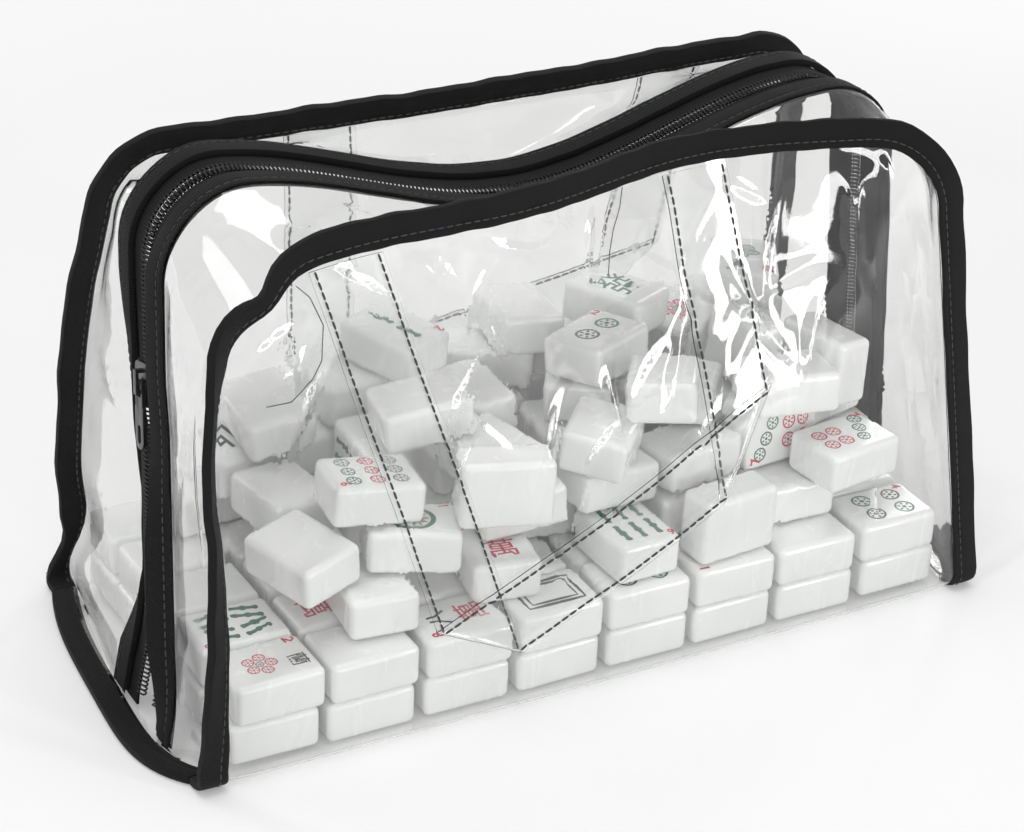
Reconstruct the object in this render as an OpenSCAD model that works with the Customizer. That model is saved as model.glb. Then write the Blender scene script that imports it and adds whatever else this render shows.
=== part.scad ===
// A clear zip case with its loose set of playing tiles.
// X runs along the front, the front panel faces -Y and Z points up. The origin
// lies on the table under the middle of the case.

/* [Case] */
// Width between the side seams at the base
case_width = 308; // [270:1:360]
// Depth between the front and back panels at the base
case_depth = 150; // [136:1:190]
// Height of the panel seams above the table
case_height = 182; // [174:1:230]
// How far each side seam leans inward from base to top
side_lean = 16; // [6:1:28]
// How far each panel leans inward from base to top
panel_lean = 26; // [12:1:32]
// Corner radius of the front panel's seam
front_corner_r = 28; // [20:1:32]
// Corner radius of the back panel's seam
back_corner_r = 24; // [18:1:32]
// Radius of the fold between each panel and the bottom
base_fold_r = 8; // [6:0.5:12]
// How far the panels swell outward over the tiles
panel_belly = 4; // [0:0.5:8]
// How far the bottom's right side seam swells outward
right_bulge = 12; // [3:0.5:14]
// How far the bottom's left side seam swells outward, most of it near the front
left_bulge = 14; // [3:0.5:16]

/* [Top edges] */
// How far the front top edge is drawn back towards the zip
front_bow = 18; // [0:1:22]
// Where along the width the front edge is drawn back most
front_bow_x = 52; // [-60:1:80]
// Half the length of the drawn stretch of the front edge
front_bow_half = 100; // [70:1:130]
// How far the back top edge is drawn forward
back_bow = 4; // [0:1:12]
// Depth of the dent in the front left corner
dent_depth = 5; // [0:0.5:6]
// Reach of the dent in the front left corner
dent_size = 10; // [9:1:18]
// Share of the seam's width that is lost where the dent pinches it
dent_pinch = 0.4; // [0:0.05:0.45]
// How far the front left corner sags round its dent
corner_sag = 5; // [0:0.5:6]
// Reach of the sag round the dent
corner_sag_reach = 28; // [20:1:34]

/* [Film] */
// Thickness of the clear film
film_t = 0.6; // [0.4:0.05:0.8]
// Gap between two film layers sewn together
lap_gap = 0.2; // [0.1:0.05:0.4]
// Width of the film edge inside a seam
seam_flange = 9; // [7:0.5:11]
// Thickness of the strap strip sewn on each panel
strap_t = 0.5; // [0.3:0.05:0.8]
// Width of the strap strip
strap_w = 28; // [20:1:34]
// Space between the panel and the strap lying on it
strap_gap = 0.6; // [0.5:0.05:0.9]
// Space between the strap's layers at a folded corner
fold_gap = 0.8; // [0.7:0.05:1.2]
// Distance from the strap's edge to its stitch line
stitch_inset = 2; // [1.5:0.25:4]
// Thickness of the sewing thread
thread_d = 0.5; // [0.3:0.05:0.6]

/* [Binding] */
// Thickness of the woven binding tape
tape_t = 0.8; // [0.5:0.05:1]
// Clearance between the tape and the film it covers
tape_gap = 0.25; // [0.2:0.05:0.3]
// Width of the fold beside the zip
zip_fold_w = 9.5; // [7:0.5:11]

/* [Zip] */
// Height of the zip's corners above the panel seams
zip_rise = 8; // [4:0.5:14]
// How far the middle of the zip sags below its corners
zip_sag = 24; // [0:1:30]
// Corner radius of the zip's line
zip_corner_r = 30; // [22:1:32]
// How far the side gussets swell beyond the seams
gusset_swell = 6; // [2:0.5:9]
// Thickness of the zip's woven tape
zip_tape_t = 0.9; // [0.6:0.05:1.2]
// Width of one zip tape
zip_tape_w = 11.2; // [10.8:0.2:14]
// Distance from the middle of the closed chain to each tape
tape_edge = 3.3; // [3.1:0.1:4]
// Distance from the middle of the closed chain to each folded edge
fold_edge = 9.5; // [9:0.25:10.5]
// Pitch of the teeth in one row
tooth_pitch = 3.2; // [2.8:0.1:4.5]
// Length of one tooth along the chain
tooth_len = 1.2; // [0.9:0.05:1.3]
// Thickness of a tooth through the tape
tooth_h = 2.6; // [2:0.1:3]
// How far a tooth reaches past the middle of the chain
tooth_lap = 1.2; // [0.8:0.1:1.3]
// How far each row stands aside below the slider
row_parting = 2.4; // [2.2:0.1:3]
// Height of the slider above the table
slider_height = 119; // [70:1:121]
// Depth position of the zip's lower left end
zip_foot_y = -22; // [-26:1:-6]
// Depth position of the zip at its left corner
zip_shoulder_y = 12; // [0:1:16]
// Share of the left bulge by which the zip's lower end flares out
foot_flare = 0.3; // [0:0.05:0.3]

/* [Slider] */
// Length of the slider along the chain
slider_l = 15; // [13:0.5:18]
// Thickness of the slider's plates
plate_t = 1.1; // [0.8:0.1:1.4]
// Width of the slider's bridge
bridge_w = 2.4; // [2:0.2:3]
// Length of the pull tab from its pivot
pull_l = 24; // [18:1:30]
// Width of the pull tab
pull_w = 7; // [6.4:0.2:8]
// Thickness of the pull tab
pull_t = 1.3; // [1:0.1:1.5]

/* [Tiles] */
// Length of a tile
tile_l = 34; // [30:0.5:36]
// Width of a tile
tile_w = 26; // [22:0.5:28]
// Thickness of a tile
tile_t = 16; // [14:0.5:19]
// Corner radius of a tile
tile_r = 3; // [1.5:0.25:4]
// Space left round each resting tile
tile_gap = 0.35; // [0.3:0.05:0.6]
// Which of the random piles is used
pile_seed = 12; // [1:1:40]

/* [Hidden] */
$fn = 32;

front = -1;
back = 1;
arc_low = [15, 30, 45];
arc_high = [45, 60, 75, 90];
top_cells = 18;
fold_steps = 3;
side_count = 7;
left_count = side_count + len(arc_low);
top_count = 2 * len(arc_high) + top_cells - 1;
first_left = fold_steps;
first_top = fold_steps + left_count - 1;
chain_count = 2 * first_top + top_count;
last = chain_count - 1;

// Heights of the seam's layers in the bottom's side flanges.
edge_z = tape_t + tape_gap + film_t / 2;
floor_z = film_t / 2;
lap = film_t + lap_gap;

// Height of the film's edge above the zip tape's middle, in its folded binding.
film_n = zip_tape_t / 2 + tape_gap + tape_t + tape_gap + film_t / 2;

// ---------- small helpers ----------

function unit(v) = v / norm(v);
function clamp(v, lo, hi) = min(max(v, lo), hi);
function smooth(t) = let (c = clamp(t, 0, 1)) c * c * (3 - 2 * c);
function bell(t) = abs(t) < 1 ? pow(cos(90 * t), 2) : 0;
function lerp(a, b, t) = a + (b - a) * t;
function reversed(v) = [for (i = [len(v) - 1:-1:0]) v[i]];

// ---------- outline of a seam in the XZ plane ----------

function seam_half(z) = case_width / 2 - side_lean * z / case_height;
function zip_half(z) = seam_half(z) + gusset_swell - film_n;

// Heights along a straight side: close together at the foot and at the slider.
function side_heights(low, high) = [
    low, low + 10, low + 22,
    lerp(low + 22, slider_height - slider_l / 2 - 0.5, 0.5),
    slider_height - slider_l / 2 - 0.5,
    slider_height + slider_l / 2 + 0.5,
    high
];

function corner_point(half, top, r, a) = [-(half - r * (1 - cos(a))), top - r * (1 - sin(a))];

function left_side(half_low, half_high, low, top, r) = concat(
    [for (z = side_heights(low, top - r)) [-lerp(half_low, half_high, (z - low) / (top - r - low)), z]],
    [for (a = arc_low) corner_point(half_high, top, r, a)]
);

function top_side(half_high, top, r) =
    let (
        left = [for (a = arc_high) corner_point(half_high, top, r, a)],
        inner = half_high - r,
        middle = [for (k = [1:top_cells - 1]) [lerp(-inner, inner, k / top_cells), top]]
    )
    concat(left, middle, [for (p = reversed(left)) [-p[0], p[1]]]);

// ---------- the two panels ----------

function corner_r(side) = side == front ? front_corner_r : back_corner_r;

// Distance of a panel from the middle plane.
function panel_y(side, x, z) =
    case_depth / 2 - panel_lean * z / case_height
    + panel_belly * sin(180 * clamp(z / (0.8 * case_height), 0, 1)) * bell(x / (seam_half(z) + 10))
    - (side == front
        ? front_bow * bell((x - front_bow_x) / front_bow_half) * pow(clamp(z / case_height, 0, 1.1), 2)
        : back_bow * bell(x / seam_half(0)) * pow(clamp(z / case_height, 0, 1.1), 2));

// The dent and the sag round it push the front left corner towards the middle
// of the panel.
dent_at = corner_point(seam_half(case_height - front_corner_r), case_height, front_corner_r, 50);
dent_dir = [0.6, -0.8];
function near_share(p, at, reach) = exp(-pow(norm(p - at) / reach, 2));
function dent_push(side, p) =
    side == front
    ? dent_depth * near_share(p, dent_at, dent_size) + corner_sag * near_share(p, dent_at, corner_sag_reach)
    : 0;
function dented(side, p) = p + dent_push(side, p) * dent_dir;

// Share of the full seam width that is left at a seam point.
pinch_at = dent_at + (dent_depth + corner_sag) * dent_dir;
pinch_reach = 11;
function seam_share(side, p) = side == front ? 1 - dent_pinch * near_share([p[0], p[2]], pinch_at, pinch_reach) : 1;

// Height of a panel's top seam over a point of its width.
function seam_top(side, x) = case_height + dent_push(side, [x, case_height]) * dent_dir[1];

function on_panel(side, p) = [p[0], side * panel_y(side, p[0], p[1]), p[1]];
function panel_normal(side, p) =
    unit(-side * cross(on_panel(side, p + [1, 0]) - on_panel(side, p - [1, 0]),
                       on_panel(side, p + [0, 1]) - on_panel(side, p - [0, 1])));

function panel_left(side) =
    let (r = corner_r(side))
    [for (p = left_side(seam_half(base_fold_r), seam_half(case_height - r), base_fold_r, case_height, r))
        dented(side, p)];
function panel_right(side) =
    let (r = corner_r(side))
    [for (p = left_side(seam_half(base_fold_r), seam_half(case_height - r), base_fold_r, case_height, r))
        [-p[0], p[1]]];
function panel_top(side) =
    let (r = corner_r(side))
    [for (p = top_side(seam_half(case_height - r), case_height, r)) dented(side, p)];

// Fold from a panel (t = 0) to the bottom (t = 1) at one side of the case.
function fold_point(side, x, t, z_end) =
    let (
        y0 = panel_y(side, x, base_fold_r),
        y1 = y0 + panel_lean * base_fold_r / case_height,
        start = [x, side * y0, base_fold_r],
        corner = [x, side * y1, z_end],
        end = [x, side * (y0 - base_fold_r), z_end]
    )
    lerp(lerp(start, corner, t), lerp(corner, end, t), t);

// ---------- seam frames: [point, outward in its plane, panel normal, width share] ----------

function seam_points(side) =
    let (
        l = panel_left(side),
        t = panel_top(side),
        r = panel_right(side),
        x0 = l[0][0]
    )
    concat(
        [for (k = [fold_steps:-1:1]) fold_point(side, x0, k / fold_steps, edge_z)],
        [for (p = l) on_panel(side, p)],
        [for (j = [1:top_count - 2]) on_panel(side, t[j])],
        [for (p = reversed(r)) on_panel(side, p)],
        [for (k = [1:fold_steps]) fold_point(side, -x0, k / fold_steps, edge_z)]
    );

function tangent(pts, k) = unit(pts[min(k + 1, len(pts) - 1)] - pts[max(k - 1, 0)]);

function seam_frame(side, pts, k) =
    let (
        t = k == 0 ? [0, side, 0] : k == last ? [0, -side, 0] : tangent(pts, k),
        folded = k < fold_steps || k > last - fold_steps,
        n0 = folded ? [0, 0, 0] : panel_normal(side, [pts[k][0], pts[k][2]]),
        e0 = folded ? [k < fold_steps ? -1 : 1, 0, 0] : unit(-side * cross(n0, t)),
        n1 = folded ? unit(-side * cross(t, e0)) : n0
    )
    [pts[k], e0, n1, seam_share(side, pts[k])];

function seam_frames(side) =
    let (pts = seam_points(side))
    [for (k = [0:last]) seam_frame(side, pts, k)];

// ---------- zip frames: [point, towards the back, outward, along] ----------

function zip_top() = case_height + zip_rise;
function zip_low() = base_fold_r + 6;

function zip_depth(p) =
    let (
        straight_top = zip_top() - zip_corner_r,
        rise = (p[1] - zip_low()) / (straight_top - zip_low()),
        right_y = 6,
        across = smooth((p[0] + zip_half(zip_top())) / (2 * zip_half(zip_top())))
    )
    p[1] <= straight_top && p[0] < -zip_half(0) / 2 ? lerp(zip_foot_y, zip_shoulder_y, rise)
    : p[1] <= straight_top && p[0] > zip_half(0) / 2 ? right_y
    : lerp(zip_shoulder_y, right_y, across) - 4 * bell(p[0] / zip_half(zip_top()));

function zip_sagged(p) = [p[0], p[1] - zip_sag * bell((p[0] + 5) / (zip_half(zip_top()) - 20))];

function zip_points() =
    let (
        half_high = zip_half(zip_top() - zip_corner_r),
        l = left_side(zip_half(zip_low()), half_high, zip_low(), zip_top(), zip_corner_r),
        t = top_side(half_high, zip_top(), zip_corner_r),
        end_z = edge_z + film_t / 2 + 0.4,
        foot = [for (k = [0:fold_steps - 1])
            let (z = lerp(end_z, zip_low(), k / fold_steps))
            [-zip_half(z), z]],
        left = concat(foot, l),
        flat = concat(left, [for (j = [1:top_count - 2]) t[j]], [for (p = reversed(left)) [-p[0], p[1]]])
    )
    [for (p = flat)
        let (
            s = zip_sagged(p),
            flare = p[0] < 0 ? foot_flare * left_bulge * exp(-pow(p[1] / 16, 2)) : 0
        )
        [p[0] - flare, zip_depth(p), abs(p[0]) < half_high - 1 ? s[1] : p[1]]];

function zip_frames() =
    let (pts = zip_points())
    [for (k = [0:last])
        let (
            t = tangent(pts, k),
            n = unit(cross(t, [0, 1, 0]))
        )
        [pts[k], [0, 1, 0], n, t]];

// How far a row stands aside at height z on the left: parted below the slider
// and splayed at the foot.
function parting(p) =
    p[0] > 0 ? 0
    : row_parting * clamp((slider_height + slider_l / 2 + 0.5 - p[2]) / (slider_l + 1), 0, 1)
      + 3 * clamp((zip_low() + 22 - p[2]) / 22, 0, 1);

// A point beside the zip: u away from the middle of the chain, n proud of the tape.
function beside_zip(side, f, u, n) = f[0] + f[1] * side * (u + parting(f[0])) + f[2] * n;

// ---------- sheets: closed solids between two grids of points ----------

module shell(outer, inner) {
    rows = len(outer);
    cols = len(outer[0]);
    off = rows * cols;
    points = concat([for (r = outer) each r], [for (r = inner) each r]);
    quads = concat(
        [for (i = [0:rows - 2], j = [0:cols - 2])
            [i * cols + j, i * cols + j + 1, (i + 1) * cols + j + 1, (i + 1) * cols + j]],
        [for (i = [0:rows - 2], j = [0:cols - 2])
            [off + i * cols + j, off + (i + 1) * cols + j, off + (i + 1) * cols + j + 1, off + i * cols + j + 1]],
        [for (j = [0:cols - 2]) [j + 1, j, off + j, off + j + 1]],
        [for (j = [0:cols - 2])
            let (b = (rows - 1) * cols + j)
            [b, b + 1, off + b + 1, off + b]],
        [for (i = [0:rows - 2])
            let (b = i * cols)
            [b, b + cols, off + b + cols, off + b]],
        [for (i = [0:rows - 2])
            let (b = i * cols + cols - 1)
            [b + cols, b, off + b, off + b + cols]]
    );
    faces = [for (q = quads) each [[q[0], q[1], q[2]], [q[0], q[2], q[3]]]];
    polyhedron(points = points, faces = faces, convexity = 10);
}

function grid_normal(g, i, j) =
    let (
        rows = len(g),
        cols = len(g[0]),
        down = g[min(i + 1, rows - 1)][j] - g[max(i - 1, 0)][j],
        along = g[i][min(j + 1, cols - 1)] - g[i][max(j - 1, 0)]
    )
    unit(cross(down, along));

function offset_grid(g, d) =
    [for (i = [0:len(g) - 1]) [for (j = [0:len(g[0]) - 1]) g[i][j] + d * grid_normal(g, i, j)]];

// A sheet of even thickness round its middle surface.
module sheet(g, t) {
    shell(offset_grid(g, t / 2), offset_grid(g, -t / 2));
}

// ---------- body sheet: front panel, bottom and back panel ----------

// The seam's flange, drawn round the 45 degree corner without a doubled point.
function flange_point(fr, k, towards, width) =
    let (e = k == towards ? fr[k][1] : unit(0.8 * fr[k][1] + 0.2 * fr[towards][1]))
    fr[k][0] + e * width * fr[k][3];

function panel_rows(side) =
    let (
        fr = seam_frames(side),
        l = panel_left(side),
        r = panel_right(side),
        t = panel_top(side),
        top_l = first_top,
        top_r = first_top + top_count - 1
    )
    concat(
        [for (i = [0:left_count - 1])
            let (
                k = first_left + i,
                m = last - k,
                is_top = i == left_count - 1
            )
            concat(
                [flange_point(fr, k, is_top ? k - 1 : k, seam_flange)],
                [for (j = [0:top_count - 1])
                    let (
                        u = j / (top_count - 1),
                        v = i / (left_count - 1),
                        corners = (1 - v) * lerp(l[0], r[0], u) + v * lerp(t[0], t[top_count - 1], u),
                        p = (1 - v) * lerp(l[0], r[0], u) + v * t[j] + lerp(l[i], r[i], u) - corners
                    )
                    on_panel(side, p)],
                [flange_point(fr, m, is_top ? m + 1 : m, seam_flange)]
            )],
        [concat(
            [flange_point(fr, top_l, top_l, seam_flange)],
            [for (j = [0:top_count - 1])
                let (k = top_l + j)
                flange_point(fr, k, j == 0 ? k + 1 : j == top_count - 1 ? k - 1 : k, seam_flange)],
            [flange_point(fr, top_r, top_r, seam_flange)]
        )]
    );

// Each of the bottom's side seams runs through a few points that all its layers
// share. Towards is -1 for the left seam and 1 for the right one.
function bottom_end(side) = fold_point(side, seam_half(base_fold_r), 1, edge_z)[1];
bottom_steps = 8;
function bottom_knots(towards) =
    [for (k = [0:bottom_steps])
        let (
            t = 2 * k / bottom_steps - 1,
            bulge = towards < 0 ? left_bulge * (0.75 - 0.35 * t) : right_bulge
        )
        [lerp(bottom_end(front), bottom_end(back), k / bottom_steps), bulge * (1 - pow(t, 4))]];
left_knots = bottom_knots(-1);
right_knots = bottom_knots(1);
function bottom_half(towards, y) = seam_half(base_fold_r) + lookup(y, towards < 0 ? left_knots : right_knots);

function row_u(j) = j / (top_count - 1);

// The bottom rises to the side flanges over its last tenth.
function bottom_z(u) = lerp(floor_z, edge_z, smooth((abs(2 * u - 1) - 0.9) / 0.1));

function fold_row(side, t) =
    let (h = seam_half(base_fold_r))
    concat(
        [fold_point(side, -h, t, edge_z) - [seam_flange, 0, 0]],
        [for (j = [0:top_count - 1]) fold_point(side, lerp(-h, h, row_u(j)), t, bottom_z(row_u(j)))],
        [fold_point(side, h, t, edge_z) + [seam_flange, 0, 0]]
    );

function bottom_row(y) =
    let (
        l = -bottom_half(-1, y),
        r = bottom_half(1, y)
    )
    concat(
        [[l - seam_flange, y, edge_z]],
        [for (j = [0:top_count - 1]) [lerp(l, r, row_u(j)), y, bottom_z(row_u(j))]],
        [[r + seam_flange, y, edge_z]]
    );

module body_sheet() {
    g = concat(
        reversed(panel_rows(front)),
        [for (k = [1:fold_steps]) fold_row(front, k / fold_steps)],
        [for (k = [1:bottom_steps - 1]) bottom_row(left_knots[k][0])],
        [for (k = [fold_steps:-1:1]) fold_row(back, k / fold_steps)],
        panel_rows(back)
    );
    color([0.88, 0.9, 0.9, 0.35]) sheet(g, film_t);
}

// ---------- gussets: from the panel seam to the zip ----------

gusset_steps = [0.25, 0.5, 0.75];

function gusset_row(side, fr, zf, k) =
    let (
        f = fr[k],
        z = zf[k],
        on_floor = k == 0 || k == last,
        out = k == 0 ? [-1, 0, 0] : [1, 0, 0],
        seam = f[0] - f[2] * lap,
        rim = beside_zip(side, z, fold_edge + tape_t + tape_gap, film_n),
        free = beside_zip(side, z, fold_edge + zip_fold_w + 1, film_n),
        inward = unit([0, -side, 0] - (([0, -side, 0] * f[1]) * f[1])),
        near = seam + inward * 4,
        swell = k <= first_left || k >= last - first_left ? 0 : k < first_top || k > last - first_top ? 1.5 : -2,
        above = [0, 0, edge_z + lap]
    )
    on_floor
    ? let (
        y0 = f[0][1],
        y1 = free[1],
        y2 = rim[1],
        ys = concat([y0 - side * 4], [for (s = gusset_steps) lerp(y0 - side * 4, y1, s)], [y1, y2])
    )
    concat(
        [f[0] + out * seam_flange + [0, 0, lap], f[0] + [0, 0, lap]],
        [for (y = ys) out * bottom_half(out[0], y) + [0, y, 0] + above]
    )
    : concat(
        [seam + f[1] * seam_flange * f[3], seam, near],
        [for (s = gusset_steps) lerp(near, free, s) + z[2] * swell * sin(180 * s)],
        [free, rim]
    );

// The flange that lies over the bottom's side seam.
function gusset_hem(side, row, out) =
    [for (j = [0:len(row) - 1])
        j == 0 ? row[1] + unit(out - [0, side * 0.1, 0]) * seam_flange
        : j == 1 ? row[1] + unit(out - [0, side * 0.25, 0]) * seam_flange
        : row[j] + out * seam_flange];

module gusset(side) {
    fr = seam_frames(side);
    zf = zip_frames();
    rows = [for (k = [0:last]) gusset_row(side, fr, zf, k)];
    g = concat(
        [gusset_hem(side, rows[0], [-1, 0, 0])],
        rows,
        [gusset_hem(side, rows[last], [1, 0, 0])]
    );
    color([0.86, 0.89, 0.9, 0.35]) sheet(side == front ? g : [for (r = g) reversed(r)], film_t);
}

module front_gusset() {
    gusset(front);
}

module rear_gusset() {
    gusset(back);
}

// ---------- bindings: woven tape folded round an edge ----------

// Outer and inner lines of a folded tape, as [outward, proud] pairs. The fold
// covers film layers from proud = low to proud = high.
function fold_outer(start, tip, low, high) = [
    [start[0], high + tape_gap + tape_t],
    [tip + tape_gap, high + tape_gap + tape_t],
    [tip + tape_gap + tape_t, high + tape_gap],
    [tip + tape_gap + tape_t, low - tape_gap],
    [tip + tape_gap, low - tape_gap - tape_t],
    [start[1], low - tape_gap - tape_t]
];
function fold_inner(start, tip, low, high) = [
    [start[0], high + tape_gap],
    [tip, high + tape_gap],
    [tip + tape_gap, high],
    [tip + tape_gap, low],
    [tip, low - tape_gap],
    [start[1], low - tape_gap]
];

seam_start = [-0.5, 1];
hem_start = [-0.5, 1.6];
end_gap = 0.4;
seam_low = -lap - film_t / 2;
seam_high = film_t / 2;
seam_outer = fold_outer(seam_start, seam_flange, seam_low, seam_high);
seam_inner = fold_inner(seam_start, seam_flange, seam_low, seam_high);

function swept(frames, line) = [for (f = frames) [for (p = line) f[0] + f[1] * p[0] + f[2] * p[1]]];

module edge_binding(side) {
    fr = [for (f = seam_frames(side)) [f[0], f[1] * f[3], f[2]]];
    used = side == front ? fr : reversed(fr);
    color([0.09, 0.09, 0.1]) shell(swept(used, seam_outer), swept(used, seam_inner));
}

module front_binding() {
    edge_binding(front);
}

module rear_binding() {
    edge_binding(back);
}

module bottom_binding(hand) {
    ys = concat(
        [bottom_end(front) + end_gap],
        [for (k = [1:bottom_steps - 1]) left_knots[k][0]],
        [bottom_end(back) - end_gap]
    );
    frames = [for (y = ys) [[hand * bottom_half(hand, y), y, edge_z], [hand, 0, 0], [0, 0, -1]]];
    used = hand < 0 ? reversed(frames) : frames;
    color([0.09, 0.09, 0.1]) shell(
        swept(used, fold_outer(hem_start, seam_flange, seam_low, seam_high)),
        swept(used, fold_inner(hem_start, seam_flange, seam_low, seam_high))
    );
}

module left_bottom_binding() {
    bottom_binding(-1);
}

module right_bottom_binding() {
    bottom_binding(1);
}

zip_film_low = film_n - film_t / 2;
zip_film_high = film_n + film_t / 2;

// The fold beside the zip opens away from it, so its line runs from the chain.
function zip_fold_line(line) = [for (p = line) [fold_edge + zip_fold_w - p[0], p[1]]];

module zip_binding(side) {
    zf = zip_frames();
    tip = zip_fold_w - tape_t - tape_gap;
    outer = zip_fold_line(fold_outer([0, 0], tip, zip_film_low, zip_film_high));
    inner = zip_fold_line(fold_inner([0, 0], tip, zip_film_low, zip_film_high));
    used = [for (k = [1:last - 1]) zf[side == front ? k : last - k]];
    color([0.1, 0.1, 0.11]) shell(
        [for (f = used) [for (p = outer) beside_zip(side, f, p[0], p[1])]],
        [for (f = used) [for (p = inner) beside_zip(side, f, p[0], p[1])]]
    );
}

module front_zip_binding() {
    zip_binding(front);
}

module rear_zip_binding() {
    zip_binding(back);
}

// ---------- zip tapes and teeth ----------

module zip_tape(side) {
    zf = zip_frames();
    used = side == front ? reversed(zf) : zf;
    us = [tape_edge, tape_edge + zip_tape_w];
    color([0.08, 0.08, 0.09]) shell(
        [for (f = used) [for (u = us) beside_zip(side, f, u, zip_tape_t / 2)]],
        [for (f = used) [for (u = us) beside_zip(side, f, u, -zip_tape_t / 2)]]
    );
}

module front_zip_tape() {
    zip_tape(front);
}

module rear_zip_tape() {
    zip_tape(back);
}

function running_lengths(pts, k = 0, sum = 0, out = []) =
    k >= len(pts) ? out
    : let (s = k == 0 ? 0 : sum + norm(pts[k] - pts[k - 1]))
      running_lengths(pts, k + 1, s, concat(out, [s]));

// Space between a tooth's root and its tape.
root_gap = 0.4;

function span_at(lengths, s, k = 0) = k >= len(lengths) - 2 || lengths[k + 1] > s ? k : span_at(lengths, s, k + 1);

// Stands its children at point p with local Y along the chain and Z outward.
module stand(p, along, outward) {
    side_axis = cross(along, outward);
    multmatrix([
        [side_axis[0], along[0], outward[0], p[0]],
        [side_axis[1], along[1], outward[1], p[1]],
        [side_axis[2], along[2], outward[2], p[2]]
    ]) children();
}

module teeth(side) {
    zf = zip_frames();
    pts = [for (f = zf) f[0]];
    lengths = running_lengths(pts);
    start = lengths[1] + (side == front ? 0 : tooth_pitch / 2);
    stop = lengths[last - 1];
    reach = tape_edge - root_gap + tooth_lap;
    color([0.13, 0.13, 0.14])
    for (s = [start:tooth_pitch:stop]) {
        k = span_at(lengths, s);
        t = (s - lengths[k]) / (lengths[k + 1] - lengths[k]);
        along = unit(pts[k + 1] - pts[k]);
        outward = unit(cross(along, [0, 1, 0]));
        p = lerp(pts[k], pts[k + 1], t);
        square_to_run = norm([along[0], along[2]]);
        aside = side * (parting(p) * square_to_run - tooth_lap + reach / 2);
        stand(p, along, outward)
            translate([-aside, 0, 0])
            cube([reach, tooth_len, tooth_h], center = true);
    }
}

module front_zip_teeth() {
    teeth(front);
}

module rear_zip_teeth() {
    teeth(back);
}

// ---------- slider and pull ----------

run_low = [-zip_half(zip_low()), zip_foot_y, zip_low()];
run_high = [-zip_half(zip_top() - zip_corner_r), zip_shoulder_y, zip_top() - zip_corner_r];
run_dir = unit(run_high - run_low);
run_out = unit(cross(run_dir, [0, 1, 0]));
slider_at = run_low + run_dir * (slider_height - zip_low()) / run_dir[2];

channel_w = 2 * (tape_edge - root_gap + row_parting + 0.35);
channel_h = tooth_h + 0.8;
tape_slot = zip_tape_t + 0.6;
slider_w = channel_w + 2 * plate_t;
plate_top = channel_h / 2 + plate_t;
pivot_up = 1;
pull_lift = plate_top + 0.35 + pull_t / 2;
bridge_under = pull_lift + pull_t / 2 + 0.3;
bridge_reach = 3.2;

module slider_body() {
    color([0.12, 0.12, 0.13])
    stand(slider_at, run_dir, run_out) {
        difference() {
            slider_block();
            cube([channel_w, slider_l + 2, channel_h], center = true);
            cube([slider_w + 2, slider_l + 2, tape_slot], center = true);
        }
        slider_wedge();
        slider_bridge();
    }
}

// Both plates share one outline: straight flanks and rounded ends.
module slider_block() {
    r = 2.5;
    translate([0, 0, -plate_top])
    linear_extrude(2 * plate_top)
    union() {
        square([slider_w, slider_l - 2 * r], center = true);
        square([slider_w - 2 * r, slider_l], center = true);
        for (x = [-1, 1], y = [-1, 1])
            translate([x * (slider_w / 2 - r), y * (slider_l / 2 - r)])
            circle(r);
    }
}

// The wedge that parts the rows joins the two plates at the slider's mouth.
module slider_wedge() {
    low = -slider_l / 2;
    gap = row_parting - tooth_lap;
    translate([0, 0, -plate_top])
    linear_extrude(2 * plate_top)
    polygon([[-gap * 0.65, low], [gap * 0.65, low], [0.12, low + 4], [-0.12, low + 4]]);
}

module slider_bridge() {
    post = 1.2;
    top = bridge_under + 1.1;
    translate([-bridge_w / 2, pivot_up, 0])
    rotate([90, 0, 90])
    linear_extrude(bridge_w)
    difference() {
        translate([-bridge_reach - post, plate_top - 0.4])
            square([2 * (bridge_reach + post), top - plate_top + 0.4]);
        translate([-bridge_reach, plate_top - 1])
            square([2 * bridge_reach, bridge_under - plate_top + 1]);
    }
}

module pull_tab() {
    eye_w = bridge_w + 1.2;
    eye_l = norm([bridge_reach + 1.2, bridge_under + 1.1 - pull_lift]) + 0.4;
    color([0.16, 0.16, 0.17])
    stand(slider_at + run_dir * pivot_up + run_out * pull_lift, run_dir, run_out) {
        rotate([0, 90, 0])
            cylinder(h = eye_w + 2.4, d = pull_t, center = true);
        translate([0, 0, -pull_t / 2])
        linear_extrude(pull_t)
        difference() {
            pull_outline(eye_w + 2.4);
            translate([-eye_w / 2, -eye_l])
                square([eye_w, eye_l + 1]);
            pull_slot();
        }
    }
}

module pull_outline(neck) {
    r = pull_w / 2;
    translate([-neck / 2, -pull_l + r])
        square([neck, pull_l - r]);
    translate([-r, -pull_l + r])
        square([pull_w, pull_l - r - 9]);
    translate([0, -pull_l + r])
        circle(r);
}

module pull_slot() {
    w = 2.6;
    low = -pull_l + 2 + w / 2;
    translate([0, low])
        circle(d = w);
    translate([0, low + 4])
        circle(d = w);
    translate([-w / 2, low])
        square([w, 4]);
}

// ---------- straps: one strip per panel, folded at both lower corners ----------

// Middle of the strip on each panel: top left, lower left, lower right, top right.
// Its ends stop just short of the seam.
strap_end = 1.6;
front_path = [[-100, case_height], [-56, 34], [56, 82], [44, case_height]];
back_path = [[-63, case_height], [-50, 60], [78, 86], [84, case_height]];
layer_low = film_t / 2 + strap_gap + strap_t / 2;
layer_high = layer_low + strap_t + fold_gap;
strap_rows = 8;

function left_of(d) = [-d[1], d[0]];
function mirrored(v, c) = 2 * (v * c) * c - v;

function strap_turns(path) =
    let (
        d = [for (k = [0:2]) unit(path[k + 1] - path[k])],
        c1 = unit(d[0] + d[1]),
        c2 = unit(d[1] + d[2]),
        n0 = left_of(d[0]),
        n1 = mirrored(n0, c1),
        n2 = mirrored(n1, c2)
    )
    [d, [c1, c2], [n0, n1, n2]];

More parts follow.
